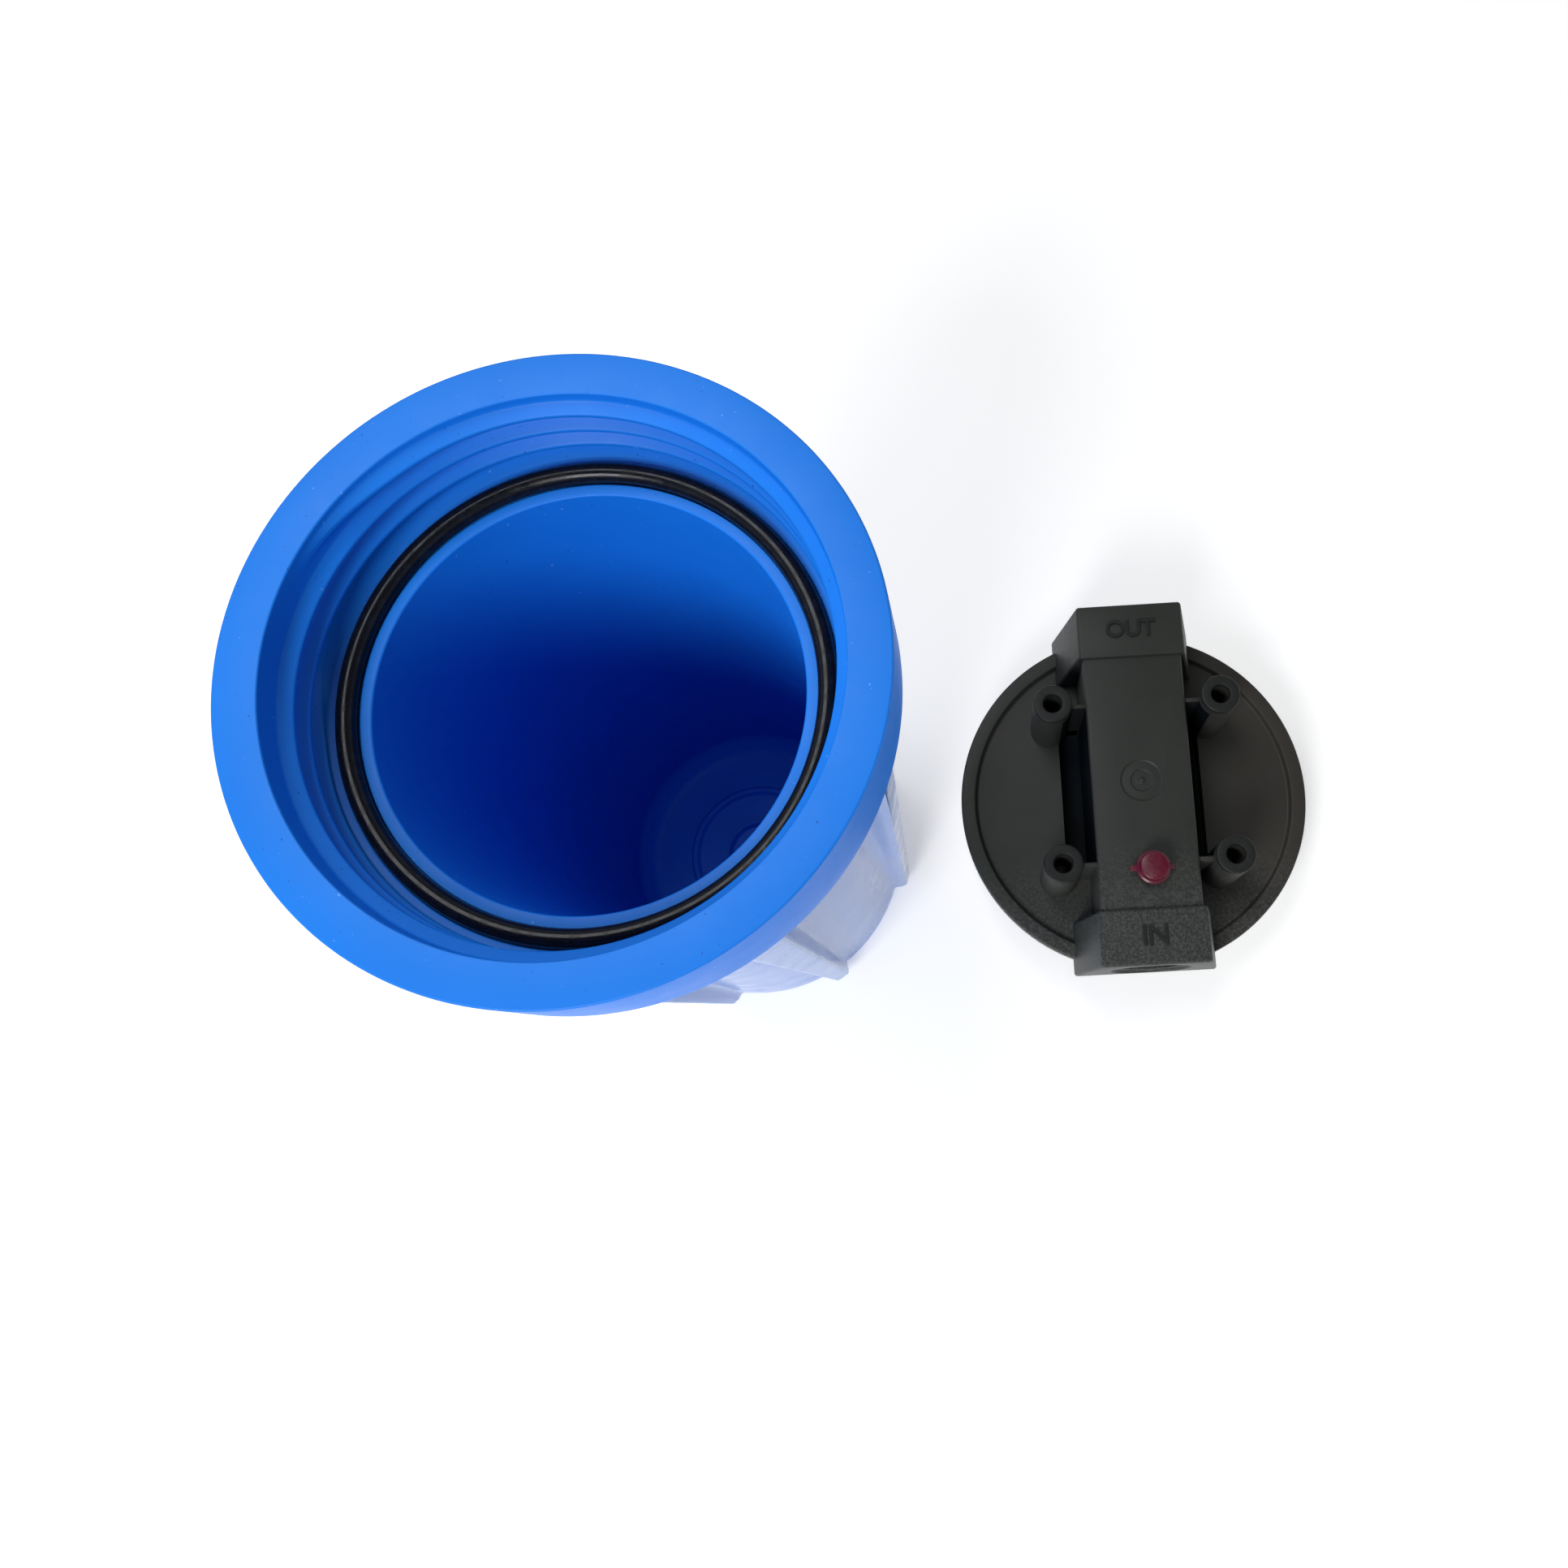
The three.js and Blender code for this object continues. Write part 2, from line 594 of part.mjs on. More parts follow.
const reliefGroup = new THREE.Group();
reliefGroup.position.set(RELIEF_X, RELIEF_Y, 0);
reliefGroup.add(mesh("relief_button", reliefButton(), RED));
reliefGroup.add(mesh("relief_spring", reliefSpring(), STEEL));
reliefGroup.add(mesh("relief_seal", reliefSeal(), RUBBER));
reliefGroup.add(mesh("relief_washer", reliefWasher(), STEEL));
reliefGroup.add(mesh("relief_screw", reliefScrew(), STEEL));
capGroup.add(reliefGroup);

housing.add(sumpGroup, capGroup);

export default housing;
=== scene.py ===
"""Jumbo cartridge filter housing, opened: the blue sump with its O-ring stands beside the black cap.

Shapes are worked out in millimetres from the sump's or the cap's own axis, with the ground at z = 0,
and turned into metres in the frame's coordinates when each mesh is made.
"""

import math

import bmesh
import bpy
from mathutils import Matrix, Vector


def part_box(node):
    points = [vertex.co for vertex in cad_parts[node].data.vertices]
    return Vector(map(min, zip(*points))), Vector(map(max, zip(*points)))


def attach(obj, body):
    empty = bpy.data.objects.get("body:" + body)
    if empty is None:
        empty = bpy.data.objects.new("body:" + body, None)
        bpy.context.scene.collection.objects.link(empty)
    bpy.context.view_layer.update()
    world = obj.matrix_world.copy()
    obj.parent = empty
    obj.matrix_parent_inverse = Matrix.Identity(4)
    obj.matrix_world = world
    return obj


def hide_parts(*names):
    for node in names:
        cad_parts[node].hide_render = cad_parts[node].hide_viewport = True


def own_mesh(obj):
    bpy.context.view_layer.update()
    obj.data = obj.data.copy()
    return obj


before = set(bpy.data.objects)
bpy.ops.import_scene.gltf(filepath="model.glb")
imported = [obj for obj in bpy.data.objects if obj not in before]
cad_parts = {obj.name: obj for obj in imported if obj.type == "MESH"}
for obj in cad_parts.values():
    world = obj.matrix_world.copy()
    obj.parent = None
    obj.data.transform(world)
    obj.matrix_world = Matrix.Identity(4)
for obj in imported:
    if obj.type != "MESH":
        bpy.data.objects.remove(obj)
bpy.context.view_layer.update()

MM = 0.001
TAU = 2 * math.pi


# --- driving dimensions, in millimetres --------------------------------------------------------
def box_mm(node):
    low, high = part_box(node)
    return low / MM, high / MM


SUMP_LOW, SUMP_HIGH = box_mm("sump")
CAP_LOW, CAP_HIGH = box_mm("cap_top")
_, POST_HIGH = box_mm("cap_post_1")
BUTTON_LOW, BUTTON_HIGH = box_mm("relief_button")
WASHER_LOW, WASHER_HIGH = box_mm("relief_washer")
RING_LOW, RING_HIGH = box_mm("main_o_ring")
SPRING_LOW, SPRING_HIGH = box_mm("relief_spring")
SEAL_LOW, SEAL_HIGH = box_mm("relief_seal")
SCREW_LOW, SCREW_HIGH = box_mm("relief_screw")

SUMP_AXIS = (SUMP_LOW + SUMP_HIGH) / 2
CAP_AXIS = (CAP_LOW + CAP_HIGH) / 2
RELIEF_AXIS = (WASHER_LOW + WASHER_HIGH) / 2

RIM_Z = SUMP_HIGH.z
RIM_R = (SUMP_HIGH.x - SUMP_LOW.x) / 2
COLLAR_FOOT_Z = RIM_Z - 31
BODY_BASE_R = 69.5
BODY_TOP_R = 71.5
SWELL_LENGTH = 15
SWELL = 16.5
MOUTH_R = 79.4
THREAD_HEAD_Z = RIM_Z - 1.4
THREAD_FOOT_Z = RIM_Z - 26
LEDGE_Z = RIM_Z - 30.6
LIP_Z = RIM_Z - 28.8
BORE_TOP_R = 63.9
BORE_BASE_R = 60
FLOOR_Z = 6
FLOOR_RING_HEIGHT = 2
FLOOR_HUB_HEIGHT = 4
RIBS = 8
RIB_FIRST = math.radians(-13)
RIB_TOP_HEIGHT = 16.4
RIB_BASE_HEIGHT = 6.1
RIB_TOP_HALF = 6.1
RIB_BASE_HALF = 3.9
RIB_WALL_R = 80
RIB_TOE_Z = 11.5
RIB_TOE_LENGTH = 8.5
RIB_CREST_FILLET = 1.3
RIB_FOOT_FILLET = 5
RIB_SIDE = 0.9

THREAD_PITCH = 7.5
THREAD_START = math.radians(158)
THREAD_DEPTH = 3.6
SUMP_THREAD_TOP = RIM_Z - 4.2
SUMP_THREAD_TURNS = 3

FLANGE_R = (CAP_HIGH.x - CAP_LOW.x) / 2
FLANGE_BASE = 28
FLANGE_TOP = 35
SKIRT_OUTER_R = 75.3
SKIRT_INNER_R = 68
PLATE_UNDERSIDE = 26.5
CAP_THREAD_TOP = FLANGE_BASE - 3.2
CAP_THREAD_TURNS = 2.75
CAP_THREAD_HEAD_Z = FLANGE_BASE - 0.3
CAP_THREAD_FOOT_Z = 3
BLOCK_TOP = 72
BLOCK_OUTER_Y = (CAP_HIGH.y - CAP_LOW.y) / 2
BLOCK_INNER_Y = 58
BLOCK_TOP_HALF = 23.9
BLOCK_BASE_HALF = 33.5
CHANNEL_TOP = 70
CHANNEL_HALF = 22.5
PORT_Z = 49
PORT_R = 16.6
PORT_THREAD_PITCH = 2.2
PORT_THREAD_DEPTH = 20
PASSAGE_R = 15.4
INLET_DEPTH = 56
OUTLET_DEPTH = 89
DROP_R = 15
BOSS_TOP = POST_HIGH.z
BOSS_X = 37.8
BOSS_Y = 36.7
BOSS_R = 8.75
BOSS_HOLE_DEPTH = 26
WEB_HALF = 1.1
POCKET_OUTER_X = 33.5
POCKET_HALF_Y = 35.6
POCKET_FLOOR = 24.4
POCKET_WALL = 2.5
POCKET_WALL_BOTTOM = 21.6
MARK_Y = 70.5

WELL_R = 6
WELL_FLOOR = 61
VENT_R = 3.3
BUTTON_FLANGE_Z = BUTTON_HIGH.z - 5.6


# --- mesh helpers --------------------------------------------------------------------------------
def build(name, parts, axis, smooth_angle=32):
    """One object from [(points, faces), ...] in millimetres about an upright axis."""
    shape = bmesh.new()
    for points, faces in parts:
        made = [shape.verts.new(((p[0] + axis.x) * MM, (p[1] + axis.y) * MM, p[2] * MM)) for p in points]
        for face in faces:
            corners = [made[i] for i in face]
            if len(set(corners)) >= 3:
                shape.faces.new(corners)
    bmesh.ops.remove_doubles(shape, verts=shape.verts, dist=2e-7)
    bmesh.ops.dissolve_degenerate(shape, edges=shape.edges, dist=1e-7)
    bmesh.ops.recalc_face_normals(shape, faces=shape.faces)
    mesh = bpy.data.meshes.new(name)
    shape.to_mesh(mesh)
    shape.free()
    made_object = bpy.data.objects.new(name, mesh)
    bpy.context.scene.collection.objects.link(made_object)
    soften(made_object, smooth_angle)
    return made_object


def soften(piece, angle=32):
    piece.data.shade_smooth()
    piece.data.set_sharp_from_angle(angle=math.radians(angle))


def finish_piece(piece, body, slot, material, *nodes):
    piece.data.materials.clear()
    piece.data.materials.append(material)
    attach(piece, body)
    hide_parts(*nodes)
    return piece


def evaluated(piece):
    """Applies every modifier of a piece."""
    graph = bpy.context.evaluated_depsgraph_get()
    applied = bpy.data.meshes.new_from_object(piece.evaluated_get(graph))
    piece.modifiers.clear()
    piece.data = applied
    return piece


def cut(piece, *cutters):
    for cutter in cutters:
        modifier = piece.modifiers.new("cut", "BOOLEAN")
        modifier.operation = "DIFFERENCE"
        modifier.solver = "EXACT"
        modifier.object = cutter
    return evaluated(piece)


def join(first, *others):
    """Moves the others' faces into the first piece."""
    shape = bmesh.new()
    shape.from_mesh(first.data)
    for other in others:
        shape.from_mesh(other.data)
        bpy.data.objects.remove(other)
    shape.to_mesh(first.data)
    shape.free()
    return first


def even_angles(count):
    return [TAU * i / count for i in range(count)]


def circle_row(radius, z, angles):
    return [(radius * math.cos(a), radius * math.sin(a), z) for a in angles]


def skin(rows, close_rows=False):
    """Quads between rows of points that each run once round. A row of one point is a pole."""
    points = []
    faces = []
    starts = []
    for row in rows:
        starts.append(len(points))
        points.extend(row)
    pairs = list(range(len(rows) - 1))
    for i in pairs + ([len(rows) - 1] if close_rows else []):
        low, high = rows[i], rows[(i + 1) % len(rows)]
        a, b = starts[i], starts[(i + 1) % len(rows)]
        count = max(len(low), len(high))
        for j in range(count):
            k = (j + 1) % count
            if len(low) == 1:
                faces.append((a, b + k, b + j))
            elif len(high) == 1:
                faces.append((a + j, a + k, b))
            else:
                faces.append((a + j, a + k, b + k, b + j))
    return points, faces


def rounded(corners, steps=5):
    """A path through (r, z, fillet radius) corners, with an arc at each corner that has a fillet."""
    path = []
    for i, (r, z, fillet) in enumerate(corners):
        here = Vector((r, z))
        if fillet <= 0 or i in (0, len(corners) - 1):
            path.append((r, z))
            continue
        before = Vector(corners[i - 1][:2]) - here
        after = Vector(corners[i + 1][:2]) - here
        half = before.angle(after) / 2
        reach = min(fillet / math.tan(half), before.length * 0.49, after.length * 0.49)
        radius = reach * math.tan(half)
        bisector = (before.normalized() + after.normalized()).normalized()
        centre = here + bisector * (radius / math.sin(half))
        start = here + before.normalized() * reach - centre
        end = here + after.normalized() * reach - centre
        sweep = start.angle_signed(end)
        for s in range(steps + 1):
            turn = -sweep * s / steps
            x = start.x * math.cos(turn) - start.y * math.sin(turn)
            y = start.x * math.sin(turn) + start.y * math.cos(turn)
            path.append((centre.x + x, centre.y + y))
    return path


def turned(corners, angles, closed=False, steps=5):
    """A surface of revolution. Path ends on the axis become poles."""
    rows = []
    for r, z in rounded(corners, steps):
        rows.append([(0, 0, z)] if r < 1e-6 else circle_row(r, z, angles))
    return skin(rows, close_rows=closed)


def shifted(part, x=0, y=0, z=0):
    points, faces = part
    return [(p[0] + x, p[1] + y, p[2] + z) for p in points], faces


# --- screw threads -------------------------------------------------------------------------------
# Cross-section of one ridge: (height above its centre line, share of the full ridge height).
RIDGE = [
    (-3.75, 0), (-2.6, 0), (-2.25, 0.035), (-1.95, 0.14), (-0.95, 0.86), (-0.75, 0.95), (-0.45, 1),
    (0.3, 1), (0.62, 0.96), (0.9, 0.875), (2.1, 0.15), (2.45, 0.04), (2.9, 0),
]


def ridge_share(offset):
    for (low, a), (high, b) in zip(RIDGE, RIDGE[1:]):
        if low <= offset <= high:
            return a + (b - a) * (offset - low) / (high - low)
    return 0


def thread_height(angle, z, top_centre, turns, fade=0.09):
    """How far the ridge stands out of its wall. It winds down clockwise from THREAD_START."""
    part_turn = ((THREAD_START - angle) / TAU) % 1
    down = (top_centre - z) / THREAD_PITCH
    along = round(down - part_turn) + part_turn
    grown = min(1, along / fade, (turns - along) / fade)
    if grown <= 0:
        return 0
    eased = grown * grown * (3 - 2 * grown)
    return THREAD_DEPTH * eased * ridge_share((along - down) * THREAD_PITCH)


def threaded_band(angles, low_z, high_z, top_centre, radius_at):
    """The wall between two levels, with rows that follow the thread so that its crest is one clean line."""
    first = angles[0]
    centre = top_centre - THREAD_PITCH * (((THREAD_START - first) / TAU) % 1)
    offsets = [offset for offset, _ in RIDGE]
    per_turn = len(offsets)
    lowest = math.floor((low_z - centre) / THREAD_PITCH) - 2
    highest = math.ceil((high_z - centre) / THREAD_PITCH) + 2
    levels = [centre + m * THREAD_PITCH + o for m in range(lowest, highest) for o in offsets]
    points = []
    for angle in angles:
        climb = THREAD_PITCH * (angle - first) / TAU
        for level in levels:
            z = min(max(level + climb, low_z), high_z)
            r = radius_at(angle, z)
            points.append((r * math.cos(angle), r * math.sin(angle), z))
    faces = []
    count = len(levels)
    for i in range(len(angles)):
        seam = i == len(angles) - 1
        for k in range(count - 1 - (per_turn if seam else 0)):
            a = i * count + k
            b = k + per_turn if seam else a + count
            zs = [points[q][2] for q in (a, b, b + 1, a + 1)]
            if max(zs) - min(zs) > 1e-6:
                faces.append((a, b, b + 1, a + 1))
    return points, faces


# --- sump ----------------------------------------------------------------------------------------
# Distances past the edge of a rib's crest, in millimetres along the wall, where columns run.
RIB_STEPS = [-1.4, -1.1, -0.8, -0.4, -0.1, 0.3, 0.7, 1.0, 1.4, 1.9, 2.5, 3.2, 4.1, 5.2, 6.6]
FLUTE_COLUMNS = 13


def rib_half(z):
    return RIB_BASE_HALF + (RIB_TOP_HALF - RIB_BASE_HALF) * z / COLLAR_FOOT_Z


def sump_angles(z):
    """Columns round the sump: close together on each rib, evenly spread across the flutes."""
    angles = []
    half = rib_half(z)
    steps = [half * s for s in (-0.5, 0, 0.5)]
    right = [half + s for s in RIB_STEPS]
    left = [-s for s in reversed(right)]
    across = sorted(left + steps + right)
    flute = TAU / RIBS - 2 * right[-1] / RIB_WALL_R
    for i in range(RIBS):
        middle = RIB_FIRST + TAU * i / RIBS
        angles += [middle + s / RIB_WALL_R for s in across]
        edge = middle + right[-1] / RIB_WALL_R
        angles += [edge + flute * (k + 1) / (FLUTE_COLUMNS + 1) for k in range(FLUTE_COLUMNS)]
    return angles


def rib_rise(distance, z):
    """How far a rib stands out of the body, at a distance along the wall from its middle."""
    share = z / COLLAR_FOOT_Z
    height = RIB_BASE_HEIGHT + (RIB_TOP_HEIGHT - RIB_BASE_HEIGHT) * share
    if z < RIB_TOE_Z:
        height *= math.sqrt(max(0, 1 - ((RIB_TOE_Z - z) / RIB_TOE_LENGTH) ** 2))
    if height < 0.01:
        return 0
    edge = min(RIB_CREST_FILLET, height * 0.25)
    fillet = min(RIB_FOOT_FILLET, height * 0.7)
    past = abs(distance) - rib_half(z)
    if past <= -edge:
        return height
    if past <= 0:
        return height - edge + math.sqrt(max(0, edge**2 - (past + edge) ** 2))
    if past <= RIB_SIDE:
        return height - edge - (height - edge - fillet) * past / RIB_SIDE
    into = past - RIB_SIDE
    if into >= fillet:
        return 0
    return fillet - math.sqrt(fillet**2 - (fillet - into) ** 2)


def tapered_radius(z):
    return BODY_BASE_R + (BODY_TOP_R - BODY_BASE_R) * z / COLLAR_FOOT_Z


def body_radius(z):
    """The tapered body, which swells out to meet the collar's foot."""
    swell_from = COLLAR_FOOT_Z - SWELL_LENGTH
    if z <= swell_from:
        return tapered_radius(z)
    share = (z - swell_from) / SWELL_LENGTH
    return tapered_radius(z) + SWELL * (1 - math.sqrt(max(0, 1 - share**2.4)))


def body_row(z):
    row = []
    for angle in sump_angles(z):
        from_rib = (angle - RIB_FIRST + TAU / RIBS / 2) % (TAU / RIBS) - TAU / RIBS / 2
        crest = tapered_radius(z) + rib_rise(from_rib * RIB_WALL_R, z)
        r = max(body_radius(z), crest)
        row.append((r * math.cos(angle), r * math.sin(angle), z))
    return row


def sump_thread(angle, z):
    return MOUTH_R - thread_height(angle, z, SUMP_THREAD_TOP, SUMP_THREAD_TURNS)


def mouth_row(angles, z):
    return [(sump_thread(a, z) * math.cos(a), sump_thread(a, z) * math.sin(a), z) for a in angles]


def sump_mesh():
    low_angles = sump_angles(0)
    top_angles = sump_angles(COLLAR_FOOT_Z)
    base = rounded([(0, 3, 0), (54, 3, 1), (57.5, 0, 1.5), (66.2, 0, 2.5), (69.2, 3, 1.5)])
    rows = [[(0, 0, 3)]] + [circle_row(r, z, low_angles) for r, z in base[1:]]
    levels = [3.2 + 0.9 * i for i in range(10)] + [12.5 + 16.5 * i for i in range(14)]
    swell_shares = (0.1, 0.3, 0.5, 0.65, 0.78, 0.88, 0.95)
    levels += [COLLAR_FOOT_Z - SWELL_LENGTH + SWELL_LENGTH * s for s in swell_shares]
    rows += [body_row(z) for z in levels]
    collar = rounded([
        (88.6, COLLAR_FOOT_Z - 0.4, 0), (90, COLLAR_FOOT_Z - 0.2, 0.5), (RIM_R - 0.1, COLLAR_FOOT_Z + 2, 1),
        (RIM_R, RIM_Z, 0.7), (MOUTH_R, RIM_Z, 0.55), (MOUTH_R, THREAD_HEAD_Z, 0),
    ])
    rows += [circle_row(r, z, top_angles) for r, z in collar[:-1]]
    rows.append(mouth_row(top_angles, THREAD_HEAD_Z))
    outside = skin(rows)
    band = threaded_band(top_angles, THREAD_FOOT_Z, THREAD_HEAD_Z, SUMP_THREAD_TOP, sump_thread)
    foot = mouth_row(top_angles, THREAD_FOOT_Z)
    inside = rounded([
        (76.4, THREAD_FOOT_Z - 1.1, 0), (75.8, THREAD_FOOT_Z - 1.4, 0.3), (73.9, THREAD_FOOT_Z - 2, 0.5),
        (73.8, LEDGE_Z, 0.6), (67.5, LEDGE_Z, 0.4), (67.5, LIP_Z, 0.2), (BORE_TOP_R, LIP_Z, 0.7),
        (BORE_BASE_R, FLOOR_Z + 7, 9), (54, FLOOR_Z, 5), (35.2, FLOOR_Z, 0.6),
        (34, FLOOR_Z + FLOOR_RING_HEIGHT, 0.5), (32, FLOOR_Z + FLOOR_RING_HEIGHT, 0.5),
        (30.8, FLOOR_Z, 0.6), (17, FLOOR_Z, 0.5), (16.4, FLOOR_Z + FLOOR_HUB_HEIGHT, 0.4),
        (15.4, FLOOR_Z + FLOOR_HUB_HEIGHT, 0.4), (14.4, FLOOR_Z, 0.6), (0, FLOOR_Z, 0),
    ])
    inner_rows = [foot] + [circle_row(r, z, top_angles) for r, z in inside[:-1]] + [[(0, 0, FLOOR_Z)]]
    return [outside, band, skin(inner_rows)]


# --- main O-ring ---------------------------------------------------------------------------------
def o_ring_mesh(mean_r, section_r, z, around=288, section=28):
    columns = even_angles(around)
    rows = []
    for a in even_angles(section):
        rows.append(circle_row(mean_r + section_r * math.cos(a), z + section_r * math.sin(a), columns))
    return skin(rows, close_rows=True)


# --- cap -----------------------------------------------------------------------------------------
def cap_thread(angle, z):
    return SKIRT_OUTER_R + thread_height(angle, z, CAP_THREAD_TOP, CAP_THREAD_TURNS)


def skirt_row(angles, z):
    return [(cap_thread(a, z) * math.cos(a), cap_thread(a, z) * math.sin(a), z) for a in angles]


def cap_plate():
    """Flange, dished plate and threaded skirt."""
    angles = even_angles(256)
    under = rounded([
        (0, PLATE_UNDERSIDE, 0), (SKIRT_INNER_R - 1.5, PLATE_UNDERSIDE, 4), (SKIRT_INNER_R, 2, 0),
        (SKIRT_INNER_R + 0.3, 0, 0.6), (SKIRT_OUTER_R - 2.4, 0, 0.6), (SKIRT_OUTER_R - 1.2, 1.2, 0.6),
        (SKIRT_OUTER_R, CAP_THREAD_FOOT_Z, 0),
    ])
    over = rounded([
        (SKIRT_OUTER_R, CAP_THREAD_HEAD_Z, 0), (SKIRT_OUTER_R + 0.4, FLANGE_BASE, 0),
        (FLANGE_R, FLANGE_BASE, 1), (FLANGE_R, FLANGE_TOP, 1.1), (75.4, FLANGE_TOP, 0.7),
        (74.3, FLANGE_TOP - 2.6, 1), (58, FLANGE_TOP - 2.2, 0), (30, FLANGE_TOP - 1.5, 0),
        (0, FLANGE_TOP - 1.2, 0),
    ])
    lower = [[(0, 0, PLATE_UNDERSIDE)]] + [circle_row(r, z, angles) for r, z in under[1:-1]]
    lower.append(skirt_row(angles, CAP_THREAD_FOOT_Z))
    band = threaded_band(angles, CAP_THREAD_FOOT_Z, CAP_THREAD_HEAD_Z, CAP_THREAD_TOP, cap_thread)
    upper = [skirt_row(angles, CAP_THREAD_HEAD_Z)]
    upper += [circle_row(r, z, angles) for r, z in over[1:-1]] + [[(0, 0, FLANGE_TOP - 1.2)]]
    return [skin(lower), band, skin(upper)]


def prism_along_y(outline, y0, y1):
    """A closed (x, z) outline pushed along Y, with its two ends."""
    count = len(outline)
    points = [(x, y0, z) for x, z in outline] + [(x, y1, z) for x, z in outline]
    faces = [(i, (i + 1) % count, (i + 1) % count + count, i + count) for i in range(count)]
    faces += [tuple(range(count)), tuple(range(count, 2 * count))]
    return points, faces


def bevelled(piece, width, segments=3, angle=30):
    modifier = piece.modifiers.new("edges", "BEVEL")
    modifier.width = width * MM
    modifier.segments = segments
    modifier.limit_method = "ANGLE"
    modifier.angle_limit = math.radians(angle)
    modifier.harden_normals = False
    return evaluated(piece)


def port_block(side):
    outline = [
        (-BLOCK_BASE_HALF, FLANGE_BASE + 0.6), (BLOCK_BASE_HALF, FLANGE_BASE + 0.6),
        (BLOCK_TOP_HALF, BLOCK_TOP), (-BLOCK_TOP_HALF, BLOCK_TOP),
    ]
    y0, y1 = sorted((side * BLOCK_INNER_Y, side * BLOCK_OUTER_Y))
    piece = build(f"block_{side}", [prism_along_y(outline, y0, y1)], CAP_AXIS)
    return bevelled(piece, 1.5, 4)


def channel():
    outline = [
        (-CHANNEL_HALF - 0.6, FLANGE_BASE - 1), (CHANNEL_HALF + 0.6, FLANGE_BASE - 1),
        (CHANNEL_HALF, CHANNEL_TOP), (-CHANNEL_HALF, CHANNEL_TOP),
    ]
    reach = BLOCK_INNER_Y + 3
    piece = build("channel", [prism_along_y(outline, -reach, reach)], CAP_AXIS)
    return bevelled(piece, 1.2, 4)


def boss(side_x, side_y):
    """A screw post with a deep blind hole, and the thin web that ties it to the channel."""
    foot = POCKET_FLOOR - 0.5
    post = turned([
        (0, foot, 0), (BOSS_R, foot, 0.4), (BOSS_R, BOSS_TOP, 0.8), (4.5, BOSS_TOP, 0.45),
        (4.05, BOSS_TOP - 1.2, 0.3), (3.9, BOSS_TOP - BOSS_HOLE_DEPTH, 0.6),
        (0, BOSS_TOP - BOSS_HOLE_DEPTH - 1, 0),
    ], even_angles(64))
    x, y = side_x * BOSS_X, side_y * BOSS_Y
    made = build(f"boss_{side_x}_{side_y}", [shifted(post, x, y)], CAP_AXIS)
    inner, outer = sorted((side_x * (CHANNEL_HALF - 1), side_x * (BOSS_X - BOSS_R + 1)))
    web = [(inner, POCKET_FLOOR), (outer, POCKET_FLOOR), (outer, BOSS_TOP - 7), (inner, BOSS_TOP - 7)]
    plate = build("web", [prism_along_y(web, y - WEB_HALF, y + WEB_HALF)], CAP_AXIS)
    return join(made, bevelled(plate, 0.6, 2))


def pocket(side):
    """The hollow of the core-out beside the channel, and the wall that hangs below the plate round it."""
    x0, x1 = sorted((side * (CHANNEL_HALF + 0.55), side * POCKET_OUTER_X))
    z0, z1 = POCKET_FLOOR, FLANGE_TOP + 1
    hollow = prism_along_y([(x0, z0), (x1, z0), (x1, z1), (x0, z1)], -POCKET_HALF_Y, POCKET_HALF_Y)
    x0, x1 = sorted((side * (CHANNEL_HALF - 0.6), side * (POCKET_OUTER_X + POCKET_WALL)))
    z0, z1 = POCKET_WALL_BOTTOM, PLATE_UNDERSIDE + 0.2
    reach = POCKET_HALF_Y + POCKET_WALL
    wall = prism_along_y([(x0, z0), (x1, z0), (x1, z1), (x0, z1)], -reach, reach)
    cutter = build("pocket_cut", [hollow], CAP_AXIS)
    hanging = build("pocket_wall", [wall], CAP_AXIS)
    return bevelled(cutter, 0.8, 2), bevelled(hanging, 0.8, 2)


def outlet_tube():
    part = turned([
        (15, 29, 0), (15, 3.4, 0.5), (16.6, 3.2, 0.3), (17.2, 1.4, 0.2), (17.8, 1.4, 0.2), (18.4, 3.2, 0.3),
        (20, 3.4, 0.6), (20.6, 26, 2), (23, 27.5, 0), (23, 29, 0),
    ], even_angles(96), closed=True)
    return build("outlet_tube", [part], CAP_AXIS)


def port_path(end):
    """Radii down a port, mouth first: entry chamfer, fine pipe-thread grooves, then the passage."""
    path = [(0, 6, 0), (PORT_R + 1.7, 6, 0), (PORT_R + 1.7, 0, 0), (PORT_R + 0.9, -1.2, 0)]
    level = -1.8
    while level > -PORT_THREAD_DEPTH:
        path += [(PORT_R - 0.5, level, 0), (PORT_R + 0.65, level - PORT_THREAD_PITCH / 2, 0)]
        level -= PORT_THREAD_PITCH
    return path + [(PASSAGE_R, -PORT_THREAD_DEPTH - 1, 0), (PASSAGE_R, -end, 1.5), (0, -end, 0)]


def along_y(part, side):
    """Lays an upright turned part down so that its top points out of the port on that side."""
    points, faces = part
    return [(p[0] * side, side * (BLOCK_OUTER_Y + p[2]), p[1] + PORT_Z) for p in points], faces


def waterway_cutters():
    angles = even_angles(72)
    inlet = turned(port_path(INLET_DEPTH), angles)
    outlet = turned(port_path(OUTLET_DEPTH), angles)
    drop = turned([(0, -4, 0), (DROP_R, -4, 0), (DROP_R, PORT_Z, 0), (0, PORT_Z, 0)], angles)
    inlet_cut = build("inlet_cut", [along_y(inlet, -1)], CAP_AXIS)
    outlet_cut = build("outlet_cut", [along_y(outlet, 1)], CAP_AXIS)
    drop_cut = build("drop_cut", [drop], CAP_AXIS)
    slot_outline = [(-11, 20), (11, 20), (11, PORT_Z), (-11, PORT_Z)]
    slot_cut = build("slot_cut", [prism_along_y(slot_outline, -57, -29)], CAP_AXIS)
    return [inlet_cut, outlet_cut, drop_cut, slot_cut]


def relief_place():
    return RELIEF_AXIS.x - CAP_AXIS.x, RELIEF_AXIS.y - CAP_AXIS.y


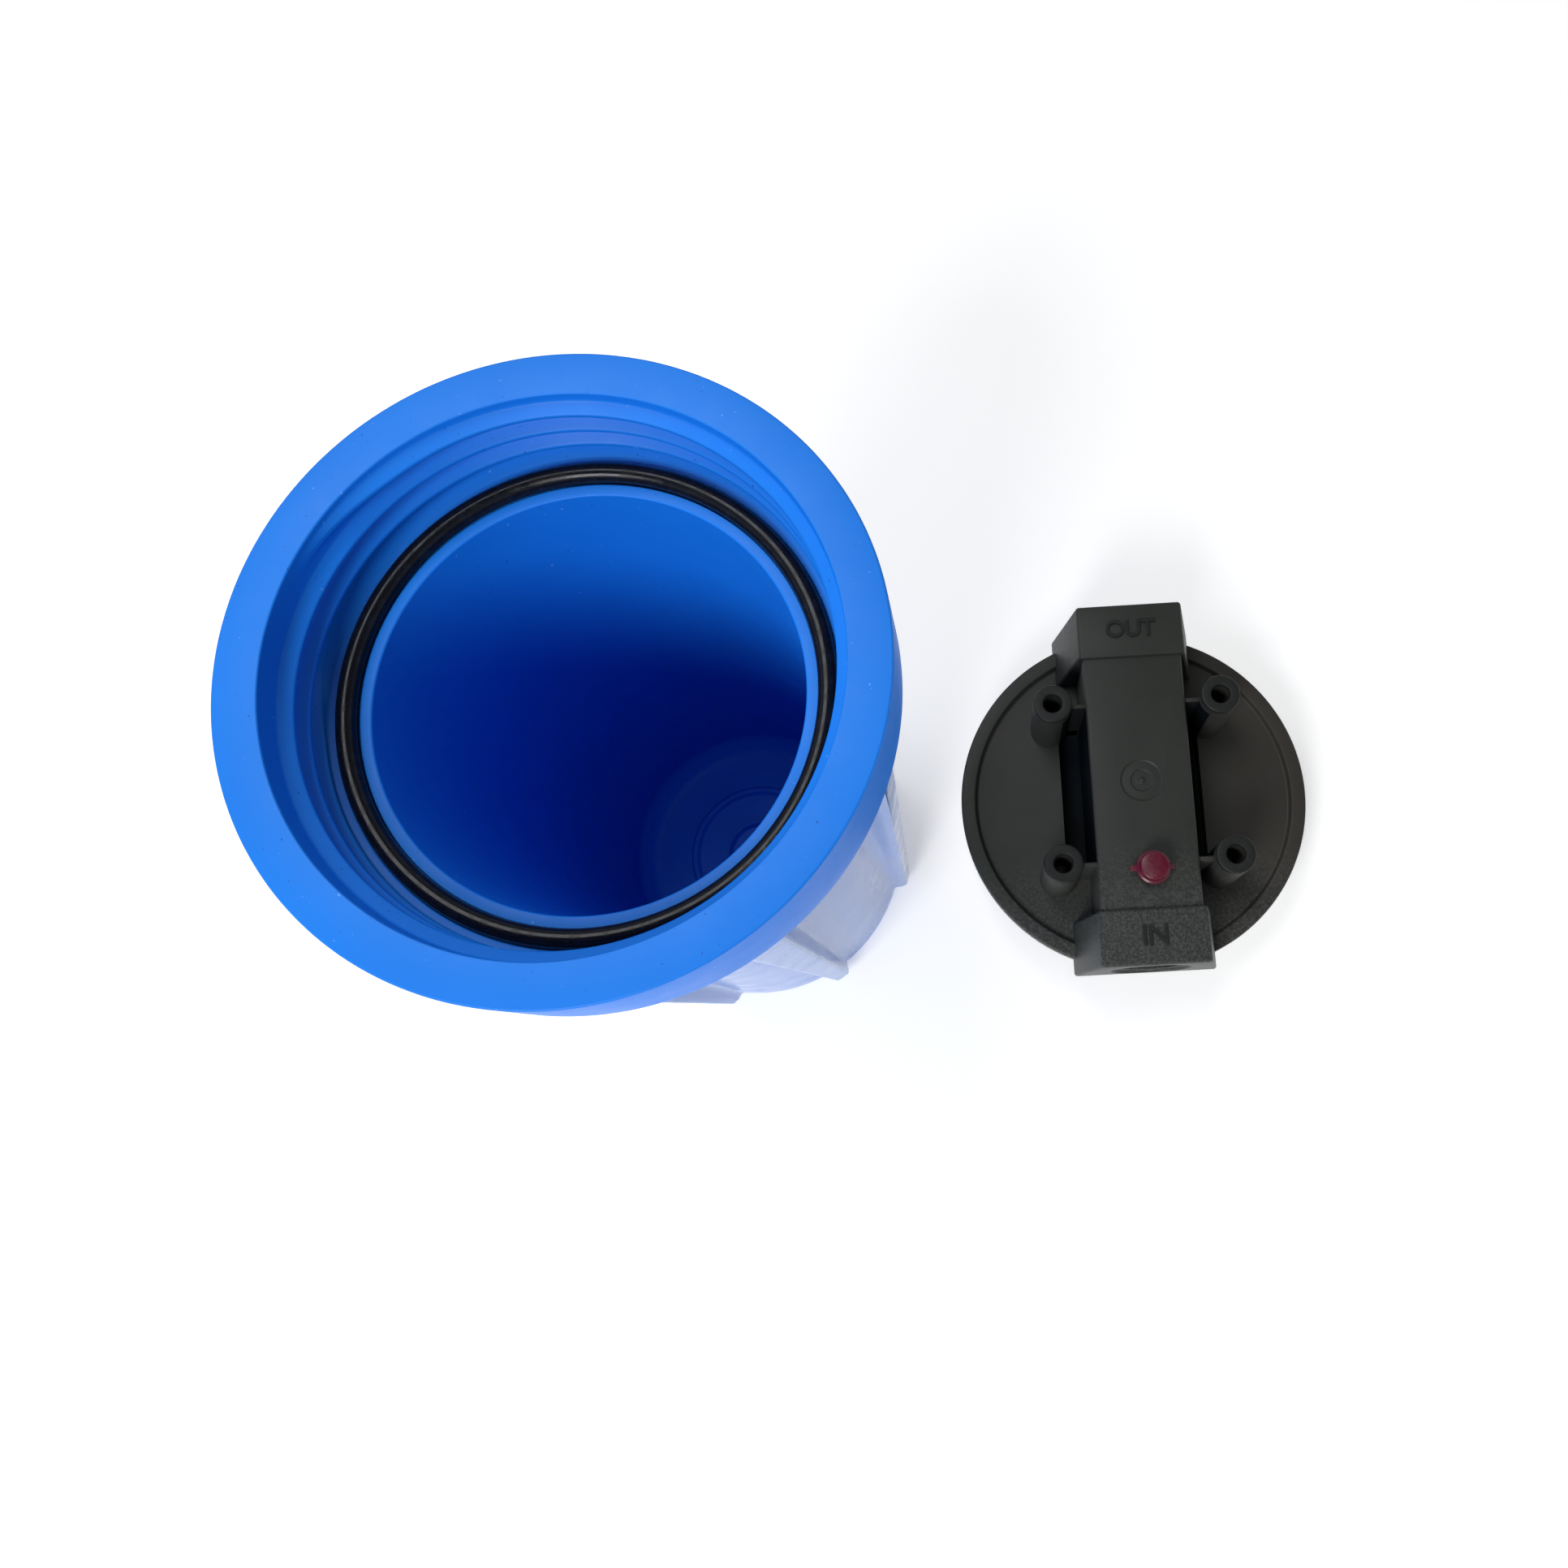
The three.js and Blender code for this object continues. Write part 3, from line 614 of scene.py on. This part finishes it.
def channel_top_cutters():
    """The relief valve's well and the shallow rings that the moulding gate leaves."""
    x, y = relief_place()
    well = turned([
        (0, WELL_FLOOR, 0), (WELL_R, WELL_FLOOR, 0.5), (WELL_R, CHANNEL_TOP - 0.7, 0),
        (WELL_R + 0.8, CHANNEL_TOP + 0.1, 0), (WELL_R + 0.8, CHANNEL_TOP + 4, 0), (0, CHANNEL_TOP + 4, 0),
    ], even_angles(48))
    vent_low, vent_high = WELL_FLOOR - 4, WELL_FLOOR + 1
    vent = turned([
        (0, vent_low, 0), (VENT_R, vent_low, 0), (VENT_R, vent_high, 0), (0, vent_high, 0),
    ], even_angles(32))
    dish = turned([
        (0, CHANNEL_TOP + 1, 0), (10, CHANNEL_TOP + 1, 0), (9.6, CHANNEL_TOP - 0.3, 0.3),
        (8.8, CHANNEL_TOP - 0.75, 0.3), (5.2, CHANNEL_TOP - 0.35, 0.4), (4.7, CHANNEL_TOP - 0.9, 0.3),
        (1.6, CHANNEL_TOP - 0.8, 0.3), (0.9, CHANNEL_TOP - 0.1, 0.3), (0, CHANNEL_TOP, 0),
    ], even_angles(72))
    return [
        build("well_cut", [shifted(well, x, y)], CAP_AXIS),
        build("vent_cut", [shifted(vent, x, y)], CAP_AXIS),
        build("dish_cut", [dish], CAP_AXIS),
    ]


def relief_well():
    x, y = relief_place()
    wall = turned([
        (VENT_R, 58.5, 0.2), (8.4, 58.5, 0.6), (8.4, 67, 0), (WELL_R, 67, 0), (WELL_R, WELL_FLOOR, 0.3),
        (VENT_R, WELL_FLOOR, 0.2),
    ], even_angles(48), closed=True)
    return build("relief_well", [shifted(wall, x, y)], CAP_AXIS)


def lettering(word, y, size):
    """Raised flow marking on a port block."""
    text = bpy.data.curves.new(f"mark_{word}", "FONT")
    text.body = word
    text.align_x = "CENTER"
    text.align_y = "CENTER"
    text.size = size * MM
    text.extrude = 0.8 * MM
    text.bevel_depth = 0.16 * MM
    text.bevel_resolution = 2
    text.space_character = 0.95
    holder = bpy.data.objects.new(f"mark_{word}", text)
    bpy.context.scene.collection.objects.link(holder)
    holder.location = (CAP_AXIS.x * MM, (CAP_AXIS.y + y) * MM, (BLOCK_TOP + 0.05) * MM)
    bpy.context.view_layer.update()
    graph = bpy.context.evaluated_depsgraph_get()
    mesh = bpy.data.meshes.new_from_object(holder.evaluated_get(graph))
    mesh.transform(holder.matrix_world)
    bpy.data.objects.remove(holder)
    piece = bpy.data.objects.new(f"mark_{word}", mesh)
    bpy.context.scene.collection.objects.link(piece)
    return piece


def cap_piece():
    """The whole moulding: each region is cut by its own waterways and hollows, then all are joined."""
    plate = build("cap_moulding", cap_plate(), CAP_AXIS)
    water = waterway_cutters()
    inlet_cut, outlet_cut, drop_cut, slot_cut = water
    fine = channel_top_cutters()
    pockets = [pocket(-1), pocket(1)]
    hollows = [hollow for hollow, _ in pockets]
    cut(plate, drop_cut, slot_cut, *hollows)
    hanging = [cut(wall, *hollows) for _, wall in pockets]
    blocks = [cut(port_block(-1), inlet_cut), cut(port_block(1), outlet_cut)]
    middle = cut(channel(), *water, *fine)
    bosses = [boss(sx, sy) for sx in (-1, 1) for sy in (-1, 1)]
    marks = [lettering("OUT", MARK_Y, 11), lettering("IN", -MARK_Y, 12.4)]
    whole = join(plate, *hanging, *blocks, middle, outlet_tube(), relief_well(), *bosses, *marks)
    for cutter in water + fine + hollows:
        bpy.data.objects.remove(cutter)
    soften(whole, 32)
    return whole


# --- relief valve --------------------------------------------------------------------------------
def button_mesh():
    base = BUTTON_FLANGE_Z
    foot = BUTTON_LOW.z
    return turned([
        (1.8, foot, 0.2), (2.6, foot, 0.2), (2.6, base - 1, 0.4), (3.2, base, 0.2), (7.6, base, 0.4),
        (7.6, base + 1.3, 0.5), (6.5, base + 1.9, 0.4), (6.25, base + 5.6, 0.9), (0, base + 5.7, 0),
        (0, foot + 9, 0), (1.8, foot + 8.6, 0.2),
    ], even_angles(64), closed=True, steps=4)


def lug(x0, x1):
    base = BUTTON_FLANGE_Z
    outline = [(x0, base), (x1, base), (x1, base + 1.4), (x0, base + 1.4)]
    return prism_along_y(outline, -1.3, 1.3)


def button_piece():
    body = build("relief_button_moulding", [button_mesh()], RELIEF_AXIS)
    lugs = build("lugs", [lug(-10.3, -5), lug(5, 8.9)], RELIEF_AXIS)
    return join(body, bevelled(lugs, 0.55, 3))


def spring_piece():
    """A coil that lies flat at both ends."""
    turns, per_turn, sides = 5, 48, 10
    wire, radius = 0.4, 4.4
    low, high = SPRING_LOW.z + wire, SPRING_HIGH.z - wire
    rows = []
    total = turns * per_turn
    for i in range(total + 1):
        share = i / total
        a = share * turns * TAU
        closed_ends = min(1, max(0, (share - 0.1) / 0.8))
        z = low + (high - low) * (0.12 * share + 0.88 * closed_ends)
        ring = []
        for b in even_angles(sides):
            r = radius + wire * math.cos(b)
            ring.append((r * math.cos(a), r * math.sin(a), z + wire * math.sin(b)))
        rows.append(ring)
    points, faces = skin(rows)
    faces += [tuple(range(sides)), tuple(range(len(points) - sides, len(points)))]
    return build("relief_spring_coil", [(points, faces)], RELIEF_AXIS, smooth_angle=60)


def screw_piece():
    """A round-headed screw, head down, with a cross slot."""
    top = SCREW_HIGH.z - 8.6
    low = SCREW_LOW.z
    body = build("relief_screw_turned", [turned([
        (0, low, 0), (2.2, low, 0.5), (3.1, top - 1.2, 0.5), (3.1, top, 0.2), (1.45, top, 0.1),
        (1.45, top + 7.6, 0.4), (0, top + 8.6, 0),
    ], even_angles(40))], RELIEF_AXIS)
    arms = []
    for half_x, half_y in ((1.7, 0.3), (0.3, 1.7)):
        outline = [(-half_x, low - 1), (half_x, low - 1), (half_x, low + 1.1), (-half_x, low + 1.1)]
        arms.append(build("slot", [prism_along_y(outline, -half_y, half_y)], RELIEF_AXIS))
    cut(body, *arms)
    for arm in arms:
        bpy.data.objects.remove(arm)
    soften(body, 35)
    return body


def washer_piece():
    low, high = WASHER_LOW.z, WASHER_HIGH.z
    outer = (WASHER_HIGH.x - WASHER_LOW.x) / 2
    part = turned([(1.9, low, 0.15), (outer, low, 0.2), (outer, high, 0.2), (1.9, high, 0.15)],
                  even_angles(56), closed=True, steps=3)
    return build("relief_washer_disc", [part], RELIEF_AXIS)


# --- materials -----------------------------------------------------------------------------------
class Paint:
    """A Principled material and short ways to feed it."""

    def __init__(self, name, colour, roughness, metallic=0.0):
        self.material = bpy.data.materials.new(name)
        self.material.use_nodes = True
        self.tree = self.material.node_tree
        self.shader = self.tree.nodes["Principled BSDF"]
        self.shader.inputs["Base Color"].default_value = (*colour, 1)
        self.shader.inputs["Roughness"].default_value = roughness
        self.shader.inputs["Metallic"].default_value = metallic
        self.place = self.tree.nodes.new("ShaderNodeTexCoord").outputs["Object"]
        self.last_bump = None

    def noise(self, scale, detail=3, roughness=0.5, stretch=None):
        node = self.tree.nodes.new("ShaderNodeTexNoise")
        node.inputs["Scale"].default_value = scale
        node.inputs["Detail"].default_value = detail
        node.inputs["Roughness"].default_value = roughness
        place = self.place
        if stretch:
            mapping = self.tree.nodes.new("ShaderNodeMapping")
            mapping.inputs["Scale"].default_value = stretch
            self.tree.links.new(place, mapping.inputs["Vector"])
            place = mapping.outputs["Vector"]
        self.tree.links.new(place, node.inputs["Vector"])
        return node.outputs["Fac"]

    def ramp(self, source, low, high, to_low=0.0, to_high=1.0):
        node = self.tree.nodes.new("ShaderNodeMapRange")
        node.inputs["From Min"].default_value = low
        node.inputs["From Max"].default_value = high
        node.inputs["To Min"].default_value = to_low
        node.inputs["To Max"].default_value = to_high
        self.tree.links.new(source, node.inputs["Value"])
        return node.outputs["Result"]

    def mix(self, share, first, second):
        """Blends two colours, or a socket and a colour, by a share."""
        node = self.tree.nodes.new("ShaderNodeMix")
        node.data_type = "RGBA"
        self.tree.links.new(share, node.inputs["Factor"])
        for socket, value in ((node.inputs[6], first), (node.inputs[7], second)):
            if isinstance(value, tuple):
                socket.default_value = (*value, 1)
            else:
                self.tree.links.new(value, socket)
        return node.outputs[2]

    def combine(self, operation, *values):
        node = self.tree.nodes.new("ShaderNodeMath")
        node.operation = operation
        for socket, value in zip(node.inputs, values):
            if isinstance(value, (int, float)):
                socket.default_value = value
            else:
                self.tree.links.new(value, socket)
        return node.outputs["Value"]

    def axis_part(self, axis):
        node = self.tree.nodes.new("ShaderNodeSeparateXYZ")
        self.tree.links.new(self.place, node.inputs["Vector"])
        return node.outputs[axis]

    def radius_from(self, axis):
        """Distance from an upright axis, in metres."""
        x = self.combine("SUBTRACT", self.axis_part("X"), axis.x * MM)
        y = self.combine("SUBTRACT", self.axis_part("Y"), axis.y * MM)
        return self.combine("SQRT", self.combine("MULTIPLY_ADD", y, y, self.combine("MULTIPLY", x, x)))

    def bump(self, height, strength, distance):
        node = self.tree.nodes.new("ShaderNodeBump")
        node.inputs["Strength"].default_value = strength
        node.inputs["Distance"].default_value = distance
        self.tree.links.new(height, node.inputs["Height"])
        if self.last_bump:
            self.tree.links.new(self.last_bump, node.inputs["Normal"])
        self.last_bump = node.outputs["Normal"]
        self.tree.links.new(self.last_bump, self.shader.inputs["Normal"])

    def set(self, name, source):
        self.tree.links.new(source, self.shader.inputs[name])


def blue_plastic():
    """Matt blue with specks and dust. Outside the sump, below its collar, it is glossier, and its colour is
    mixed greyer and darker there as a painted reflection and painted shade.
    """
    paint = Paint("blue_polypropylene", (0.006, 0.155, 0.64), 0.28)
    cloud = paint.noise(9, 4, 0.55)
    shade = paint.mix(paint.ramp(cloud, 0.3, 0.7), (0.006, 0.168, 0.69), (0.008, 0.195, 0.77))
    specks = paint.ramp(paint.noise(900, 1, 0.4), 0.77, 0.80)
    shade = paint.mix(specks, shade, (0.004, 0.06, 0.33))
    dust = paint.ramp(paint.noise(640, 2, 0.5), 0.745, 0.79, 0.0, 0.55)
    shade = paint.mix(dust, shade, (0.25, 0.47, 0.95))
    wall = (BODY_BASE_R - 3) * MM, (BODY_BASE_R - 0.5) * MM
    outside = paint.ramp(paint.radius_from(SUMP_AXIS), *wall)
    below_collar = paint.ramp(paint.axis_part("Z"), (COLLAR_FOOT_Z + 1) * MM, COLLAR_FOOT_Z * MM)
    glossy = paint.combine("MULTIPLY", outside, below_collar)
    # Painted reflection and shade: the outer wall below the collar is mixed towards a greyer, darker blue
    # that stands in for its grey reflection of the pale floor and its shade.
    shade = paint.mix(paint.ramp(glossy, 0, 1, 0, 0.45), shade, (0.07, 0.15, 0.32))
    paint.set("Base Color", shade)
    blotches = paint.ramp(paint.noise(55, 5, 0.6), 0.3, 0.7, 0.40, 0.52)
    paint.set("Roughness", paint.combine("MULTIPLY_ADD", glossy, -0.3, blotches))
    paint.set("Specular IOR Level", paint.ramp(glossy, 0, 1, 0.22, 0.6))
    even = paint.ramp(glossy, 0, 1, 1, 0.2)
    paint.bump(paint.combine("MULTIPLY", even, paint.noise(320, 3, 0.55)), 0.06, 0.0002)
    paint.bump(paint.combine("MULTIPLY", even, paint.noise(28, 2, 0.4)), 0.06, 0.0005)
    return paint.material


def black_plastic():
    """Matt black: warmer to the right, grainy round the inlet, with painted shade in the pockets and on the
    raised marks.
    """
    paint = Paint("black_polypropylene", (0.014, 0.015, 0.013), 0.45)
    cloud = paint.noise(14, 4, 0.6)
    shade = paint.mix(paint.ramp(cloud, 0.35, 0.7), (0.025, 0.027, 0.024), (0.033, 0.035, 0.031))
    warm = paint.ramp(paint.axis_part("X"), CAP_AXIS.x * MM + 0.02, CAP_AXIS.x * MM + 0.06, 0.0, 0.6)
    shade = paint.mix(warm, shade, (0.038, 0.032, 0.027))
    grain = paint.noise(850, 4, 0.7)
    near_inlet = paint.ramp(paint.axis_part("Y"), -0.012, -0.052)
    grain_share = paint.combine("MULTIPLY", near_inlet, paint.ramp(grain, 0.42, 0.66))
    shade = paint.mix(grain_share, shade, (0.075, 0.08, 0.077))
    # Painted shade: the pockets beside the channel are mixed to near black and their specular is turned
    # down, standing in for the shade that falls in them.
    pocket_shade = pocket_painted_shade(paint)
    shade = paint.mix(pocket_shade, shade, (0.004, 0.006, 0.008))
    # Painted shade: the tops of the raised letters are mixed darker, standing in for their weaker sheen;
    # they are the same plastic as the block.
    mark = paint.ramp(paint.axis_part("Z"), (BLOCK_TOP + 0.2) * MM, (BLOCK_TOP + 0.5) * MM, 0, 0.8)
    shade = paint.mix(mark, shade, (0.008, 0.009, 0.009))
    paint.set("Specular IOR Level", paint.ramp(pocket_shade, 0, 1, 0.22, 0.02))
    paint.set("Base Color", shade)
    paint.set("Roughness", paint.ramp(grain, 0.3, 0.7, 0.38, 0.54))
    paint.bump(grain, 0.2, 0.0002)
    paint.bump(paint.noise(60, 2, 0.4), 0.12, 0.0006)
    return paint.material


def pocket_painted_shade(paint):
    """How much painted shade darkens the two pockets beside the channel, from 0 outside them to 1 inside.
    """
    x = paint.combine("ABSOLUTE", paint.combine("SUBTRACT", paint.axis_part("X"), CAP_AXIS.x * MM))
    y = paint.combine("ABSOLUTE", paint.combine("SUBTRACT", paint.axis_part("Y"), CAP_AXIS.y * MM))
    z = paint.axis_part("Z")
    past_channel = paint.ramp(x, (CHANNEL_HALF - 0.2) * MM, CHANNEL_HALF * MM)
    short_of_edge = paint.ramp(x, POCKET_OUTER_X * MM, (POCKET_OUTER_X - 0.4) * MM)
    between_posts = paint.ramp(y, (POCKET_HALF_Y + 0.6) * MM, (POCKET_HALF_Y - 0.2) * MM)
    below_edge = paint.ramp(z, (CHANNEL_TOP - 0.8) * MM, (CHANNEL_TOP - 2.2) * MM)
    above_floor = paint.ramp(z, (POCKET_FLOOR - 0.4) * MM, (POCKET_FLOOR - 0.1) * MM)
    near_wall = paint.combine("MULTIPLY", past_channel, short_of_edge)
    across = paint.combine("MULTIPLY", near_wall, between_posts)
    return paint.combine("MULTIPLY", across, paint.combine("MULTIPLY", below_edge, above_floor))


def rubber():
    paint = Paint("greased_rubber", (0.006, 0.007, 0.010), 0.2)
    grease = paint.noise(260, 3, 0.6)
    paint.set("Roughness", paint.ramp(grease, 0.42, 0.62, 0.3, 0.08))
    paint.shader.inputs["Specular IOR Level"].default_value = 0.2
    shade = paint.mix(paint.ramp(grease, 0.45, 0.75), (0.004, 0.005, 0.008), (0.010, 0.012, 0.019))
    paint.set("Base Color", shade)
    paint.bump(grease, 0.2, 0.0003)
    return paint.material


def red_acetal():
    paint = Paint("red_acetal", (0.14, 0.008, 0.030), 0.25)
    cloud = paint.ramp(paint.noise(60, 3), 0.35, 0.65)
    shade = paint.mix(cloud, (0.095, 0.006, 0.020), (0.125, 0.008, 0.026))
    paint.set("Base Color", shade)
    paint.set("Roughness", paint.ramp(paint.noise(400, 3), 0.3, 0.7, 0.22, 0.36))
    paint.bump(paint.noise(700, 2), 0.08, 0.0001)
    return paint.material


def steel():
    paint = Paint("stainless_steel", (0.62, 0.62, 0.63), 0.3, 1.0)
    brushed = paint.noise(300, 3, 0.6, stretch=(1, 1, 8))
    paint.set("Roughness", paint.ramp(brushed, 0.3, 0.7, 0.2, 0.4))
    paint.bump(brushed, 0.1, 0.0001)
    return paint.material


def floor_finish():
    paint = Paint("pale_floor", (0.86, 0.86, 0.86), 0.6)
    paint.shader.inputs["Emission Color"].default_value = (1, 1, 1, 1)
    paint.shader.inputs["Emission Strength"].default_value = 0.42
    cloud = paint.ramp(paint.noise(3, 3), 0.3, 0.7)
    shade = paint.mix(cloud, (0.85, 0.85, 0.85), (0.87, 0.87, 0.87))
    paint.set("Base Color", shade)
    return paint.material


# --- pieces --------------------------------------------------------------------------------------
def make_sump(blue, black_rubber):
    shell = build("sump_moulding", sump_mesh(), SUMP_AXIS, smooth_angle=38)
    finish_piece(shell, "sump", "blue_plastic", blue, "sump")
    section = (RING_HIGH.z - RING_LOW.z) / 2
    mean = (RING_HIGH.x - RING_LOW.x) / 2 - section
    seal = build("main_seal_ring", [o_ring_mesh(mean, section, RING_LOW.z + section)], SUMP_AXIS)
    finish_piece(seal, "main_o_ring", "seal_rubber", black_rubber, "main_o_ring")


def make_cap(black):
    regions = ["top", "skirt", "outlet_tube", "inlet_block", "inlet_channel", "outlet_channel"]
    regions += ["outlet_block", "post_1", "post_2", "post_3", "post_4"]
    nodes = [f"cap_{region}" for region in regions]
    finish_piece(cap_piece(), "cap", "black_plastic", black, *nodes)


def make_relief_valve(red, black_rubber, bright):
    finish_piece(button_piece(), "relief_valve", "red_plastic", red, "relief_button")
    finish_piece(washer_piece(), "relief_valve", "spring_steel", bright, "relief_washer")
    finish_piece(screw_piece(), "relief_valve", "spring_steel", bright, "relief_screw")
    section = (SEAL_HIGH.z - SEAL_LOW.z) / 2
    mean = (SEAL_HIGH.x - SEAL_LOW.x) / 2 - section
    section_z = SEAL_LOW.z + section
    ring = build("relief_seal_ring", [o_ring_mesh(mean, section, section_z, 72, 16)], RELIEF_AXIS)
    finish_piece(ring, "relief_valve", "seal_rubber", black_rubber, "relief_seal")
    coil = finish_piece(spring_piece(), "cap", "spring_steel", bright, "relief_spring")
    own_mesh(coil)


# --- stage ---------------------------------------------------------------------------------------
def make_floor():
    reach = 6
    mesh = bpy.data.meshes.new("floor")
    corners = [(-reach, -reach, 0), (reach, -reach, 0), (reach, reach, 0), (-reach, reach, 0)]
    mesh.from_pydata(corners, [], [(0, 1, 2, 3)])
    floor = bpy.data.objects.new("floor", mesh)
    bpy.context.scene.collection.objects.link(floor)
    mesh.materials.append(floor_finish())


def hang(light, power, place, target):
    """Puts a light at a place, pointed at a target, both in metres."""
    light.energy = power
    holder = bpy.data.objects.new(light.name, light)
    bpy.context.scene.collection.objects.link(holder)
    holder.location = place
    aim = Vector(target) - Vector(place)
    holder.rotation_euler = aim.to_track_quat("-Z", "Y").to_euler()


def area_light(name, place, target, size, power):
    light = bpy.data.lights.new(name, "AREA")
    light.shape = "DISK"
    light.size = size
    hang(light, power, place, target)


def spot_light(name, place, target, radius, power, cone):
    light = bpy.data.lights.new(name, "SPOT")
    light.shadow_soft_size = radius
    light.spot_size = math.radians(cone)
    light.spot_blend = 0.5
    hang(light, power, place, target)


def make_lights():
    """A dim zenith, a brighter horizon, soft lights in front and behind, and a spot over the cap."""
    world = bpy.data.worlds.new("studio")
    world.use_nodes = True
    tree = world.node_tree
    background = tree.nodes["Background"]
    background.inputs["Color"].default_value = (0.93, 0.96, 1.0, 1)
    place = tree.nodes.new("ShaderNodeTexCoord")
    split = tree.nodes.new("ShaderNodeSeparateXYZ")
    fade = tree.nodes.new("ShaderNodeMapRange")
    for name, value in (("From Min", 0.3), ("From Max", 0.9), ("To Min", 0.55), ("To Max", 0.03)):
        fade.inputs[name].default_value = value
    tree.links.new(place.outputs["Generated"], split.inputs["Vector"])
    tree.links.new(split.outputs["Z"], fade.inputs["Value"])
    tree.links.new(fade.outputs["Result"], background.inputs["Strength"])
    bpy.context.scene.world = world
    area_light("window", (-0.6, -1.1, 1.25), (-0.05, 0, 0.2), 0.8, 19)
    area_light("sky", (-0.45, 0.5, 1.5), (-0.05, 0, 0.2), 0.9, 10)
    spot_light("overhead", (0.15, -0.1, 3), (0.105, 0.01, 0.05), 0.4, 95, 5.6)


def make_camera():
    camera = bpy.data.cameras.new("camera")
    camera.sensor_width = 36
    camera.lens = 26.09
    camera.shift_x = -0.112
    camera.shift_y = 0.044
    camera.clip_start = 0.01
    holder = bpy.data.objects.new("camera", camera)
    bpy.context.scene.collection.objects.link(holder)
    holder.location = (0.0258, -0.1126, 0.5665)
    holder.rotation_euler = (0.186, 0.033, -0.0506)
    bpy.context.scene.camera = holder


make_camera()
BLACK_RUBBER = rubber()
make_sump(blue_plastic(), BLACK_RUBBER)
make_cap(black_plastic())
make_relief_valve(red_acetal(), BLACK_RUBBER, steel())
make_floor()
make_lights()
bpy.context.scene.view_settings.view_transform = "Standard"
